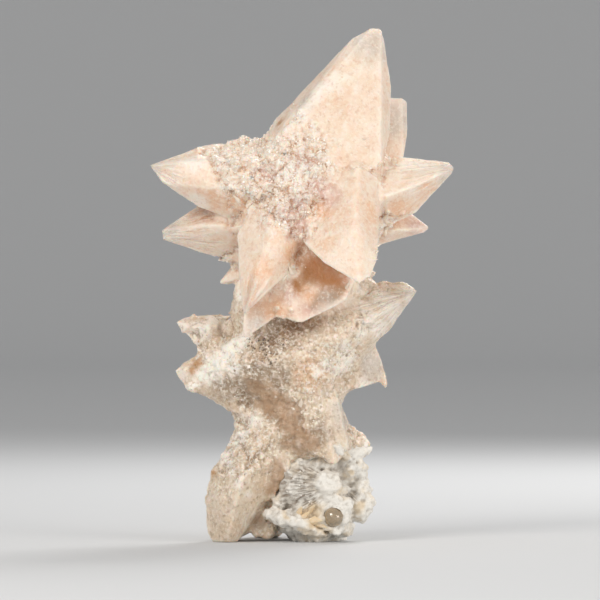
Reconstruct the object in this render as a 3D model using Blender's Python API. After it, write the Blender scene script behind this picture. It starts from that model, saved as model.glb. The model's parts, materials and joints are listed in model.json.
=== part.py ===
"""Dogtooth calcite cluster: a star of peach scalenohedral crystals on a stalk, with a foot of white matrix.

The specimen stands on the flat where it was broken off its rock. +Z is up and its best side faces
-Y. The origin is below the middle of the specimen's bounding box, on the surface that it rests on.
Lengths and places in the tables are millimetres, as (right, back, up). They are measured from a
point beside the stalk, and main() moves the finished solids onto the origin.
"""

import math
import random

import bmesh
import bpy
from mathutils import Matrix, Vector, noise

MM = 0.001
CUT_HEIGHT = 0.35
NODE_GAP = 0.3
TOWARDS_VIEWER = Vector((0.0, -1.0, 0.0))

# The crystals of the star's best side. Each is the convex solid around its own corners.
STAR_CRYSTALS = {
    "crown": (
        (8.0, -0.7, 51.55), (8.9, -0.4, 51.45), (6.1, -0.5, 50.5), (9.15, -0.3, 50.4),
        (9.86, 0.2, 45.8), (9.8, 0.6, 41.2), (8.6, -1.5, 36.0), (8.75, -4.8, 37.8), (3.2, -7.6, 34.2),
        (-1.7, 0.8, 42.4), (-3.4, 1.0, 40.3), (-2.3, -5.8, 39.1), (-3.2, -6.2, 37.2), (-3.5, 0.5, 36.5),
        (3.4, 4.8, 42.2), (7.8, 4.4, 43.0), (-1.0, 5.0, 38.5), (8.0, 4.6, 37.5), (2.0, 2.0, 34.0),
    ),
    "back_blade": (
        (7.4, 3.4, 44.75), (11.1, 4.4, 44.65), (11.6, 5.0, 44.3), (10.4, 7.4, 44.5), (8.0, 6.8, 44.7),
        (11.55, 5.0, 41.0), (11.0, 7.8, 41.0), (7.0, 7.8, 40.5), (7.0, 2.8, 40.5),
        (11.1, 4.2, 38.2), (10.6, 6.8, 36.5), (8.5, 4.0, 33.5),
    ),
    "right_fang": (
        (15.6, -2.2, 38.05), (16.15, -2.4, 37.5), (15.95, -2.5, 36.95), (14.1, -3.8, 36.5),
        (11.3, -1.4, 38.4), (8.0, -1.0, 38.9), (9.4, -6.0, 34.6), (12.3, -2.4, 33.1), (9.0, -2.8, 31.3),
        (11.5, 2.0, 37.2), (12.0, 1.8, 34.8), (8.0, 2.6, 36.0), (8.0, 2.4, 32.0), (4.0, -2.0, 35.0),
    ),
    "right_spur": (
        (13.8, 2.4, 31.65), (13.4, 2.3, 31.15), (11.6, 2.4, 33.3), (8.6, 2.4, 35.0), (10.4, 0.0, 31.3),
        (8.0, -0.6, 31.3), (8.8, 1.8, 29.9), (11.0, 4.6, 31.9), (8.0, 5.2, 31.8), (4.0, 2.0, 32.0),
    ),
    "front_fang": (
        (6.6, -11.4, 25.9), (3.1, -9.8, 28.0), (1.0, -7.8, 30.1), (7.6, -10.4, 26.6), (8.3, -9.4, 28.2),
        (8.6, -7.4, 30.9), (8.45, -5.2, 36.4), (6.6, -6.6, 37.7), (6.2, -10.1, 31.4), (3.7, -6.4, 35.0),
        (2.0, -2.0, 31.0), (8.0, -2.0, 31.0), (5.5, 0.0, 37.0),
    ),
    "left_fang": (
        (-4.75, -9.5, 22.8), (-5.2, -7.2, 26.9), (-5.4, -5.9, 30.6), (-4.4, -5.0, 33.8), (-3.9, -9.2, 25.4),
        (-2.3, -8.7, 26.3), (-1.6, -8.7, 31.4), (-1.4, -7.2, 36.0), (1.6, -7.0, 36.2), (-0.4, -7.0, 26.9),
        (0.6, -6.8, 29.9), (1.8, -6.4, 33.2), (-3.0, -2.0, 30.0), (0.5, -1.0, 32.0),
    ),
    "upper_left_fang": (
        (-14.15, -3.4, 37.7), (-12.9, -3.8, 36.0), (-9.1, -1.4, 39.6), (-4.0, -0.4, 40.7), (0.0, 0.0, 40.6),
        (-9.2, -4.6, 38.2), (-3.6, -6.4, 38.3), (0.0, -6.6, 37.6), (-8.8, -5.2, 35.4), (-3.8, -7.2, 34.8),
        (0.0, -7.2, 33.8), (-9.3, -3.2, 33.6), (-5.0, -3.6, 32.0), (-8.6, 1.6, 38.0), (-8.8, 1.8, 35.4),
        (-3.0, 3.0, 37.0), (-3.0, 3.0, 33.5),
    ),
    "lower_left_fang": (
        (-13.05, -0.4, 31.3), (-12.95, -0.5, 30.4), (-12.1, -0.2, 31.95), (-9.3, 0.4, 33.7), (-5.0, 0.8, 35.5),
        (-9.0, -2.6, 31.8), (-5.0, -4.0, 31.6), (-7.7, -0.6, 28.6), (-4.5, -0.8, 27.9), (-8.5, 3.0, 31.8),
        (-8.0, 2.6, 30.0), (-4.5, 4.0, 31.0),
    ),
    "under_left_tooth": (
        (-4.85, -6.8, 21.1), (-4.7, -6.7, 20.5), (-2.0, -6.5, 22.5), (-0.6, -6.3, 23.4), (-0.25, -6.5, 25.4),
        (-0.3, -6.0, 27.5), (-4.6, -6.6, 24.5), (-3.0, -4.0, 21.8), (-4.5, -3.0, 27.0), (0.0, -2.0, 26.0),
    ),
    "under_tooth": (
        (-1.6, -6.6, 22.65), (0.8, -7.4, 22.05), (3.8, -7.0, 23.45), (5.3, -6.6, 24.35), (6.2, -5.8, 26.2),
        (-0.25, -7.0, 25.4), (-0.2, -6.4, 28.4), (-0.3, -5.4, 30.2), (2.8, -5.4, 31.0), (4.6, -5.0, 30.0),
        (-0.5, -1.0, 26.0), (5.5, 0.0, 26.0), (6.0, -3.4, 28.0),
    ),
}

# The crystals of the stalk: broken ends, a long doubly pointed one across it, and its feet.
STALK_CRYSTALS = {
    "long_crystal": (
        (12.5, -2.2, 25.3), (12.0, -1.9, 25.75), (11.3, -1.6, 26.15), (8.8, -1.4, 26.4), (11.7, -2.0, 24.05),
        (10.0, -1.4, 21.7), (8.2, -1.2, 20.1), (8.6, -4.0, 22.8), (5.8, -5.6, 21.4), (3.2, -6.3, 20.2),
        (-0.8, -6.3, 18.3), (-4.1, -5.6, 18.0), (-8.6, -3.4, 17.2), (-9.2, -1.4, 19.3), (-11.7, -1.8, 17.3),
        (-11.3, -1.8, 16.4), (-9.0, -2.2, 14.9), (-5.9, -2.0, 12.8), (-2.0, -4.0, 12.8), (2.4, -4.8, 14.4),
        (6.0, 3.0, 24.0), (-4.0, 3.6, 20.5), (-5.0, 2.6, 15.0), (3.0, 3.0, 17.0), (-3.6, -3.9, 21.6),
        (3.0, -4.3, 23.6),
    ),
    "left_chip": (
        (-11.6, -1.0, 22.15), (-10.7, -0.8, 22.65), (-7.6, -0.4, 22.95), (-6.6, 0.0, 22.6), (-6.7, -1.2, 20.8),
        (-7.0, -2.6, 19.0), (-9.6, -1.6, 19.6), (-10.9, -1.4, 21.1), (-8.6, -2.9, 21.4), (-8.2, 1.6, 21.6),
        (-6.0, 1.4, 18.6),
    ),
    "right_lobe": (
        (8.5, -0.6, 19.6), (8.9, 0.0, 18.05), (9.5, 0.4, 17.05), (9.35, 0.4, 16.4), (7.2, -1.0, 16.15),
        (5.4, -2.6, 15.2), (4.6, -3.4, 18.6), (5.0, -3.0, 22.0), (6.4, 4.0, 20.4), (6.0, 3.8, 17.0),
        (2.0, 3.0, 20.0), (2.0, 0.0, 14.0),
    ),
    "lobe_spur": (
        (9.7, 0.3, 15.6), (9.25, 0.2, 15.35), (9.5, 0.9, 16.6), (8.6, -0.1, 16.3), (9.0, 0.8, 17.2),
        (9.3, -0.1, 16.9),
    ),
    "brown_fang": (
        (4.2, -5.0, 8.0), (3.1, -4.9, 8.55), (1.8, -4.8, 9.15), (0.3, -4.7, 10.6), (-0.6, -4.7, 12.6),
        (0.8, -5.0, 14.6), (4.4, -3.9, 15.2), (3.4, -5.1, 11.6), (5.6, -3.9, 9.8), (5.5, -2.6, 12.6),
        (5.2, 2.2, 13.2), (1.6, 1.5, 9.0), (6.4, 1.6, 9.6),
    ),
    "right_knob": (
        (5.5, -2.2, 12.4), (7.3, -1.6, 10.7), (8.1, -1.4, 10.1), (8.1, -1.2, 9.5), (7.1, -1.6, 8.4),
        (4.6, -3.4, 9.4), (4.4, -3.4, 12.6), (5.0, 2.0, 12.6), (6.6, 1.6, 9.0), (3.0, 0.0, 9.0),
    ),
    "left_foot": (
        (-5.2, -2.6, 13.2), (-2.4, -3.8, 13.4), (-6.4, -1.6, 10.0), (-7.7, -1.8, 7.75), (-8.3, -2.2, 6.9),
        (-8.8, -2.5, 4.2), (-8.4, -3.0, 1.3), (-7.4, -3.4, -0.4), (-6.4, -3.6, -0.6), (-5.0, -3.4, 0.9),
        (-3.6, -3.4, 3.4), (-2.4, -3.7, 6.2), (-1.9, -3.8, 10.6), (-3.4, -5.8, 9.6), (-5.0, -6.4, 6.4),
        (-7.4, -4.9, 4.6), (-6.2, -5.2, 1.6), (-6.8, 1.4, 2.4), (-3.4, 1.6, 3.0), (-4.4, 1.8, 9.0),
        (-6.8, 0.2, -0.6), (-5.9, 0.8, -0.6), (-3.0, 0.0, 12.0),
    ),
    "second_tongue": (
        (-1.8, -3.6, 4.2), (-0.3, -4.0, 7.3), (0.0, -3.9, 8.6), (0.2, -3.6, 10.1), (-0.8, -3.2, 12.0),
        (-1.4, -4.4, 8.4), (-2.0, -1.0, 4.4), (-1.0, 0.0, 10.0), (-3.0, -2.0, 9.0),
    ),
    "root_knob": (
        (-3.3, -2.6, 0.75), (-2.9, -2.4, 1.2), (-4.0, -2.2, 1.5), (-1.8, -2.0, 3.2), (-3.8, -2.2, 4.4),
        (-2.8, 0.6, 0.9), (-1.2, 0.2, 4.6), (-3.6, 0.4, 2.6), (-2.6, -2.9, 3.0),
    ),
    "left_nib": (
        (-6.55, -1.2, 10.4), (-6.2, -1.6, 11.2), (-6.2, -1.0, 9.9), (-5.0, -2.6, 10.6), (-4.6, 0.6, 10.6),
        (-4.6, -1.0, 12.2), (-4.6, -1.0, 9.2),
    ),
}

# Whole crystals: twelve-faced scalenohedra. tip and root are their ends, radius is the widest half
# width, shoulder is how far behind the tip that lies, and roll turns the edges about the crystal.
WHOLE_CRYSTALS = {
    "small_left_tooth": dict(tip=(-7.7, 0.2, 28.2), root=(-2.0, 0.8, 30.3), radius=2.0, shoulder=3.4, roll=25),
    "tiny_left_tooth": dict(tip=(-7.4, 1.2, 26.0), root=(-2.5, 1.0, 28.0), radius=1.4, shoulder=2.6, roll=10),
    "back_crown": dict(tip=(4.6, 9.4, 46.6), root=(1.5, 1.0, 35.0), radius=3.8, shoulder=8.2, roll=12),
    "back_upper_left": dict(tip=(-8.2, 9.4, 37.6), root=(0.5, 1.0, 35.0), radius=3.8, shoulder=8.4, roll=5),
    "back_right": dict(tip=(10.4, 10.2, 34.6), root=(1.5, 1.0, 34.5), radius=3.6, shoulder=7.6, roll=20),
    "back_middle": dict(tip=(0.8, 13.4, 35.2), root=(1.0, 0.5, 34.5), radius=4.1, shoulder=8.4, roll=35),
    "back_lower_left": dict(tip=(-4.8, 10.0, 28.8), root=(0.5, 0.5, 34.0), radius=3.2, shoulder=6.8, roll=15),
    "back_lower_right": dict(tip=(5.4, 9.8, 27.2), root=(1.5, 0.5, 33.5), radius=3.2, shoulder=6.8, roll=0),
    "back_stalk_tooth": dict(tip=(2.4, 9.6, 20.2), root=(0.0, 0.0, 17.0), radius=3.6, shoulder=6.6, roll=20),
    "back_left_tooth": dict(tip=(-7.4, 6.8, 18.6), root=(0.0, 0.5, 16.0), radius=3.0, shoulder=5.8, roll=0),
    "back_right_tooth": dict(tip=(4.0, 8.0, 12.8), root=(0.0, 0.5, 17.5), radius=2.8, shoulder=5.6, roll=30),
    "back_waist_tooth": dict(tip=(5.0, 7.2, 22.6), root=(0.0, 0.0, 27.0), radius=2.4, shoulder=4.6, roll=10),
    "left_waist_tooth": dict(tip=(-4.6, 6.6, 23.4), root=(1.0, 0.0, 26.5), radius=2.2, shoulder=4.4, roll=25),
    "right_waist_tooth": dict(tip=(8.7, 4.8, 27.2), root=(1.0, 0.0, 25.0), radius=2.4, shoulder=4.6, roll=40),
    "back_foot": dict(tip=(-3.2, 8.4, -3.6), root=(-0.6, 0.5, 13.0), radius=3.5, shoulder=9.6, roll=12),
}

# Rounded masses that the crystals grow out of: middle, half sizes, and how deep their dents are.
HEARTS = {
    "star_heart": dict(middle=(1.2, -1.2, 34.4), half=(6.8, 6.9, 6.0), dents=0.9),
    "waist": dict(middle=(1.4, 0.2, 25.2), half=(7.3, 5.0, 5.8), dents=0.7),
    "stalk_heart": dict(middle=(-0.8, 0.4, 17.4), half=(7.0, 5.0, 4.6), dents=0.9),
    "neck": dict(middle=(-0.5, -0.4, 12.0), half=(5.4, 4.6, 5.6), dents=0.7),
    "left_waist": dict(middle=(-4.5, -1.4, 23.2), half=(1.7, 2.0, 3.6), dents=0.3),
    "left_end": dict(middle=(-9.7, -1.6, 15.9), half=(1.2, 1.2, 1.0), dents=0.3),
}
HEART_DETAIL = 2

MATRIX_LOBES = {
    "main_lobe": dict(middle=(2.2, 0.0, 4.0), half=(4.0, 4.8, 4.7), dents=0.9, crust=0.35),
    "right_lobe": dict(middle=(6.4, -0.9, 4.1), half=(1.8, 2.2, 1.8), dents=0.5, crust=0.2),
    "top_right_lobe": dict(middle=(5.9, -1.4, 7.4), half=(1.5, 1.7, 1.3), dents=0.4, crust=0.2),
    "ledge": dict(middle=(0.4, -3.4, 2.3), half=(3.2, 2.4, 0.8), dents=0.2, tilt=18),
    "bead": dict(middle=(4.1, -4.7, 2.9), half=(1.0, 1.0, 1.0)),
}
LOBE_DETAIL = 3

# Where the sugar-like small crystals stand thickest: middle and reach of each patch.
SUGAR_PATCHES = (
    ((-1.0, -6.0, 36.5), 4.6),
    ((-7.0, -2.5, 39.0), 3.6),
    ((9.4, -2.4, 32.4), 2.8),
    ((-1.0, -4.5, 19.0), 5.5),
    ((-8.0, -2.0, 20.0), 3.8),
    ((0.5, -4.5, 12.5), 3.6),
    ((-5.4, -3.6, 10.0), 3.2),
    ((0.0, 6.0, 35.0), 6.5),
    ((1.0, 4.0, 25.0), 5.5),
    ((8.4, 0.0, 25.4), 3.0),
    ((0.0, 5.0, 16.0), 6.5),
)
SUGAR_COUNT = 172
SUGAR_APART = 1.1
SUGAR_TRIES = 12000


def clear_scene():
    for thing in list(bpy.data.objects):
        bpy.data.objects.remove(thing)


def finish_material(name, colour, roughness):
    """A dull Principled material; the colour is given in linear values."""
    material = bpy.data.materials.new(name)
    material.use_nodes = True
    shader = material.node_tree.nodes["Principled BSDF"]
    shader.inputs["Base Color"].default_value = (*colour, 1.0)
    shader.inputs["Roughness"].default_value = roughness
    shader.inputs["Metallic"].default_value = 0.0
    return material


def object_of(name, shape):
    """Turns a bmesh in millimetres into an object in metres."""
    bmesh.ops.recalc_face_normals(shape, faces=shape.faces)
    bmesh.ops.transform(shape, matrix=Matrix.Scale(MM, 4), verts=shape.verts)
    mesh = bpy.data.meshes.new(name)
    shape.to_mesh(mesh)
    shape.free()
    thing = bpy.data.objects.new(name, mesh)
    bpy.context.scene.collection.objects.link(thing)
    return thing


def hull_of(corners):
    """The convex solid around some corners."""
    shape = bmesh.new()
    for corner in corners:
        shape.verts.new(corner)
    made = bmesh.ops.convex_hull(shape, input=shape.verts)
    inside = [piece for piece in made["geom_interior"] if isinstance(piece, bmesh.types.BMVert)]
    bmesh.ops.delete(shape, geom=inside, context="VERTS")
    return shape


def tooth(tip, root, radius, shoulder, roll):
    """A scalenohedron: six edges run from the tip to a girdle that zigzags, and on to the root."""
    tip = Vector(tip)
    root = Vector(root)
    along = (tip - root).normalized()
    front = TOWARDS_VIEWER - TOWARDS_VIEWER.dot(along) * along
    front.normalize()
    side = front.cross(along)
    zigzag = 0.14 * shoulder
    corners = [tip, root]
    for k in range(6):
        turn = math.radians(roll + 60 * k)
        across = side * math.sin(turn) + front * math.cos(turn)
        step = zigzag if k % 2 else -zigzag
        corners.append(tip - along * (shoulder + step) + across * radius)
    return hull_of(corners)


def lump(middle, half, detail, dents=0.0, crust=0.0, tilt=0.0, grown=0.0):
    """A rounded mass with wide dents and small crusty bumps; tilt, in degrees, lowers its right side."""
    shape = bmesh.new()
    bmesh.ops.create_icosphere(shape, subdivisions=detail, radius=1.0)
    middle = Vector(middle)
    lean = Matrix.Rotation(math.radians(tilt), 3, "Y")
    for vert in shape.verts:
        way = vert.co.normalized()
        rise = dents * noise.noise(way * 1.9 + middle * 0.37) + crust * noise.noise(way * 5.5 + middle)
        vert.co = middle + lean @ Vector((way[i] * (half[i] + rise + grown) for i in range(3)))
    return shape


def fused(name, pieces, operation="UNION", base=None):
    """Joins the pieces to base, or cuts them from it, and removes them."""
    if base is None:
        base = pieces.pop(0)
    helpers = bpy.data.collections.new(name + "_pieces")
    for piece in pieces:
        helpers.objects.link(piece)
    joint = base.modifiers.new("fuse", "BOOLEAN")
    joint.operation = operation
    joint.solver = "EXACT"
    joint.operand_type = "COLLECTION"
    joint.collection = helpers
    graph = bpy.context.evaluated_depsgraph_get()
    mesh = bpy.data.meshes.new_from_object(base.evaluated_get(graph))
    base.modifiers.clear()
    base.data = mesh
    base.name = name
    mesh.name = name
    for piece in pieces:
        bpy.data.objects.remove(piece)
    bpy.data.collections.remove(helpers)
    return base


def without_pockets(thing):
    """Keeps the outer skin, so that the gaps shut in between grown-together crystals are solid."""
    shape = bmesh.new()
    shape.from_mesh(thing.data)
    left = set(shape.faces)
    skins = []
    while left:
        skin = {left.pop()}
        rim = list(skin)
        while rim:
            face = rim.pop()
            for edge in face.edges:
                for other in edge.link_faces:
                    if other in left:
                        left.remove(other)
                        skin.add(other)
                        rim.append(other)
        skins.append(skin)
    outer = max(skins, key=len)
    inner = [face for skin in skins if skin is not outer for face in skin]
    bmesh.ops.delete(shape, geom=inner, context="FACES")
    shape.to_mesh(thing.data)
    shape.free()
    return thing


def sugar_points(thing):
    """Places for small crystals on the surface, apart from each other, with their outward ways."""
    rng = random.Random(7)
    thing.data.calc_loop_triangles()
    triangles = list(thing.data.loop_triangles)
    areas = [triangle.area for triangle in triangles]
    found = []
    for _ in range(SUGAR_TRIES):
        if len(found) >= SUGAR_COUNT:
            break
        triangle = rng.choices(triangles, areas)[0]
        corners = [thing.data.vertices[i].co / MM for i in triangle.vertices]
        a, b = sorted((rng.random(), rng.random()))
        point = corners[0] * a + corners[1] * (b - a) + corners[2] * (1 - b)
        if not any((point - Vector(middle)).length < reach for middle, reach in SUGAR_PATCHES):
            continue
        if any((point - other).length < SUGAR_APART for other, _ in found):
            continue
        found.append((point, triangle.normal.copy()))
    return found


def sugar_on(thing):
    """One mesh of small teeth that stand on the surface, none of them touching another."""
    rng = random.Random(19)
    shape = bmesh.new()
    for point, way in sugar_points(thing):
        lean = Vector((rng.uniform(-1, 1), rng.uniform(-1, 1), rng.uniform(-1, 1))) * 0.55
        along = (way + lean).normalized()
        size = rng.uniform(0.42, 0.55)
        grain = tooth(
            tip=point + along * size,
            root=point - along * size * 0.9,
            radius=size * 0.72,
            shoulder=size * 0.85,
            roll=rng.uniform(0, 60),
        )
        mesh = bpy.data.meshes.new("grain")
        grain.to_mesh(mesh)
        grain.free()
        shape.from_mesh(mesh)
        bpy.data.meshes.remove(mesh)
    return object_of("sugar", shape)


def star_and_stalk():
    """Every calcite crystal and the masses between them, grown together as one solid."""
    pieces = []
    for table in (STAR_CRYSTALS, STALK_CRYSTALS):
        for name, corners in table.items():
            pieces.append(object_of(name, hull_of(corners)))
    for name, sizes in WHOLE_CRYSTALS.items():
        pieces.append(object_of(name, tooth(**sizes)))
    for name, sizes in HEARTS.items():
        pieces.append(object_of(name, lump(**sizes, detail=HEART_DETAIL)))
    cluster = without_pockets(fused("calcite_cluster", pieces))
    return fused("calcite_cluster", [sugar_on(cluster)], base=cluster)


def matrix_lobes(name, grown):
    lobes = []
    for lobe, sizes in MATRIX_LOBES.items():
        lobes.append(object_of(lobe, lump(**sizes, detail=LOBE_DETAIL, grown=grown)))
    return fused(name, lobes)


def ground_cutter():
    """A box whose top is the surface that the specimen rests on."""
    shape = bmesh.new()
    bmesh.ops.create_cube(shape, size=1.0)
    bmesh.ops.transform(shape, matrix=Matrix.Diagonal((80.0, 80.0, 20.0, 1.0)), verts=shape.verts)
    bmesh.ops.translate(shape, vec=(0.0, 0.0, CUT_HEIGHT - 10.0), verts=shape.verts)
    return object_of("ground", shape)


def stand_on_origin(things):
    """Moves the solids so that the origin is below the middle of their bounding box."""
    points = [vert.co for thing in things for vert in thing.data.vertices]
    low = [min(point[i] for point in points) for i in range(3)]
    high = [max(point[i] for point in points) for i in range(3)]
    move = Matrix.Translation((-(low[0] + high[0]) / 2, -(low[1] + high[1]) / 2, -CUT_HEIGHT * MM))
    for thing in things:
        thing.data.transform(move)


def main():
    clear_scene()
    cluster = star_and_stalk()
    socket = matrix_lobes("socket", NODE_GAP)
    cluster = fused("calcite_cluster", [socket, ground_cutter()], operation="DIFFERENCE", base=cluster)
    matrix = matrix_lobes("white_matrix", 0.0)
    matrix = fused("white_matrix", [ground_cutter()], operation="DIFFERENCE", base=matrix)
    stand_on_origin([cluster, matrix])
    cluster.data.materials.clear()
    cluster.data.materials.append(finish_material("peach_calcite", (0.80, 0.60, 0.45), 0.45))
    matrix.data.materials.clear()
    matrix.data.materials.append(finish_material("chalky_matrix", (0.80, 0.77, 0.70), 0.85))


main()
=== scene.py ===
"""The look of a dogtooth calcite cluster: crystals, sugar crust, chalky matrix and a small studio.

Lengths in the tables are millimetres, as (right, back, up) from the frame's origin. A place with two
numbers is (right, up) on the best side, and the surface that the viewer sees there gives its depth.
"""

import json
import math
import random

import bmesh
import bpy
import numpy as np
from mathutils import Matrix, Vector, noise
from mathutils.bvhtree import BVHTree
from mathutils.kdtree import KDTree

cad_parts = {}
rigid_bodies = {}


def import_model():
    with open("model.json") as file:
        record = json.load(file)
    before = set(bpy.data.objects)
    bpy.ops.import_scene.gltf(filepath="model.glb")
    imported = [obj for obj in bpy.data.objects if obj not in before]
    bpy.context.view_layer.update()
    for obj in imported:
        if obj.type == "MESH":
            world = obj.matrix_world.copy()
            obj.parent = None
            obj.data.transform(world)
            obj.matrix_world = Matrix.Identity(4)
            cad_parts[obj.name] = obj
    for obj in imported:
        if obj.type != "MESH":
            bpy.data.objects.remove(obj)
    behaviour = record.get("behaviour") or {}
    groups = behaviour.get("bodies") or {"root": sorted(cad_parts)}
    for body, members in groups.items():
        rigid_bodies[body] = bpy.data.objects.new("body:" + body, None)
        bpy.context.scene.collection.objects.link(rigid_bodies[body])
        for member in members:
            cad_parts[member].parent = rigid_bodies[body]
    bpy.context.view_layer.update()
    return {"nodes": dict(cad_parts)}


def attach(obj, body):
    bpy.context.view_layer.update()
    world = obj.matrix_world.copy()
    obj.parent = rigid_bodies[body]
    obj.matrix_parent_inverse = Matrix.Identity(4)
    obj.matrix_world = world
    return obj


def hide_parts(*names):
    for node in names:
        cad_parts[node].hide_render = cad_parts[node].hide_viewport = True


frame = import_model()

bl_info = {
    "name": "Dogtooth calcite cluster",
    "version": (1, 0, 0),
    "blender": (4, 5, 0),
    "location": "View3D > Sidebar > Calcite",
    "description": "Crystals, sugar crust, chalky matrix and studio of a calcite specimen",
    "category": "Object",
}

MM = 0.001

# Where faces stay clean: each is a rod from the crystal's tip inwards, with its half width.
CLEAN_FACES = (
    ((7.2, -1.6, 51.1), (5.4, -5.0, 41.0), 3.6),
    ((5.6, -12.4, 25.6), (5.4, -8.4, 34.0), 3.4),
    ((-5.7, -10.5, 22.4), (-3.6, -9.0, 28.6), 2.6),
    ((-15.1, -4.4, 37.3), (-10.8, -5.2, 36.0), 2.3),
    ((-14.0, -1.4, 30.6), (-8.8, -3.0, 31.0), 1.9),
    ((15.1, -3.3, 37.1), (9.6, -5.0, 34.6), 2.2),
    ((12.8, 1.4, 31.3), (9.0, 0.8, 31.2), 1.6),
    ((9.5, 4.0, 44.2), (9.6, 4.0, 38.0), 2.2),
    ((-5.8, -7.8, 20.4), (-2.0, -7.6, 23.6), 1.4),
    ((1.8, -8.4, 22.6), (2.6, -7.0, 26.4), 2.6),
    ((4.8, -6.6, 25.4), (0.8, -7.0, 25.2), 2.2),
    ((3.8, -6.6, 38.2), (8.4, -5.4, 38.2), 1.0),
    ((11.6, -3.2, 25.2), (7.4, -4.2, 21.6), 2.0),
    ((-12.4, -1.0, 21.8), (-9.0, -2.4, 21.4), 1.3),
    ((-12.5, -1.8, 17.0), (-10.8, -2.4, 16.6), 1.0),
    ((-7.6, -3.6, 1.2), (-5.2, -5.6, 4.6), 2.2),
    ((7.0, -2.0, 16.0), (6.4, -2.4, 19.0), 2.0),
    ((4.0, -5.8, 9.0), (3.6, -5.2, 13.0), 1.6),
    ((3.6, 8.4, 46.2), (1.6, 3.4, 39.6), 2.6),
    ((-9.2, 8.4, 37.2), (-4.0, 4.0, 36.0), 2.4),
    ((9.4, 9.2, 34.2), (4.4, 4.0, 34.2), 2.2),
    ((-0.2, 12.4, 34.8), (0.0, 6.0, 34.4), 2.8),
    ((-5.8, 9.0, 28.4), (-2.4, 4.6, 31.4), 1.8),
    ((4.4, 8.8, 26.8), (2.4, 4.6, 29.6), 1.8),
    ((1.4, 8.6, 19.8), (0.6, 4.8, 18.6), 1.6),
)

# Where the sugar crust is thickest: middle and reach.
THICK_SUGAR = (
    ((-1.2, 35.0), 4.6), ((-5.6, 35.4), 3.4), ((-7.4, 37.6), 2.6), ((-3.0, 38.4), 3.4),
    ((0.9, 38.2), 3.6), ((4.0, 39.0), 2.8), ((-2.6, 31.6), 2.4), ((8.2, 31.8), 1.8), ((-4.4, 19.6), 3.6),
    ((-9.6, 20.6), 2.4), ((-8.6, 18.2), 2.6), ((2.6, 19.0), 3.6), ((-0.2, 13.8), 2.8),
    ((-5.0, 11.0), 2.8), ((-7.2, 6.4), 2.2), ((-9.6, 38.4), 1.6), ((-7.4, 39.2), 1.7),
    ((-5.4, 39.8), 1.8), ((-6.8, 9.4), 2.2), ((-5.2, 8.6), 1.8), ((-0.8, 42.2), 1.2),
)

# The tips that ridges run back from: tip, root, and how far the ridges reach.
RIDGED_CRYSTALS = (
    ((-5.75, -10.5, 22.45), (-2.6, -8.0, 33.5), 5.0),
    ((-14.0, -1.4, 30.6), (-5.0, -1.5, 32.5), 7.0),
    ((15.1, -3.3, 37.1), (6.0, -3.0, 34.5), 7.0),
    ((-15.1, -4.4, 37.3), (-5.0, -4.0, 36.5), 4.0),
    ((-7.4, -3.6, 0.2), (-4.4, -2.6, 12.0), 5.0),
    ((11.5, -3.2, 25.0), (0.0, -4.0, 17.5), 9.0),
)

# Ridges that are rounded off: middle and reach.
ROUNDED_RIDGES = (
    ((5.3, 36.2), 1.6), ((5.3, 34.6), 1.6), ((5.4, 33.0), 1.6), ((5.4, 31.4), 1.5), ((5.4, 29.8), 1.5),
    ((5.4, 28.2), 1.3), ((5.4, 26.8), 1.0), ((-2.7, 31.0), 1.2), ((-3.2, 29.6), 1.2), ((-3.7, 28.0), 1.2),
    ((-4.2, 26.6), 1.0), ((4.3, 47.0), 1.0), ((2.6, 45.6), 1.2), ((0.8, 44.0), 1.2), ((-0.6, 42.6), 1.2),
)

# Ragged spots of other minerals on the crystals: middle and reach.
SPOTS = {
    "chalk": (
        ((-10.8, 15.4), 1.1), ((-9.8, 16.5), 1.5), ((-8.8, 17.5), 1.7), ((-7.8, 18.5), 1.6),
        ((-6.8, 19.4), 1.5), ((-5.8, 20.2), 1.1), ((-7.0, 17.2), 1.1), ((-9.6, 21.2), 0.9),
        ((6.6, 9.6), 0.8), ((-6.2, 24.6), 0.9),
    ),
    "stain": (((-10.4, 17.8), 1.1), ((-10.9, 17.0), 0.8), ((-2.2, 41.6), 0.9), ((-8.9, 6.9), 0.6)),
    "speckle": (
        ((-5.4, 19.6), 1.0), ((-3.9, 19.7), 1.6), ((-4.6, 20.8), 1.4), ((-3.2, 18.3), 1.4),
        ((-2.0, 19.8), 1.0),
    ),
    "rugged": (
        ((-6.8, 9.4), 2.2), ((-5.0, 8.4), 2.0), ((-7.8, 7.4), 1.4), ((-6.4, 12.0), 1.8),
        ((-5.8, 14.0), 1.6), ((-7.0, 18.4), 2.2), ((-10.8, 20.8), 1.6), ((5.6, 11.0), 1.6),
        ((6.4, 21.8), 2.0), ((-9.4, 17.0), 1.6),
    ),
}

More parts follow.
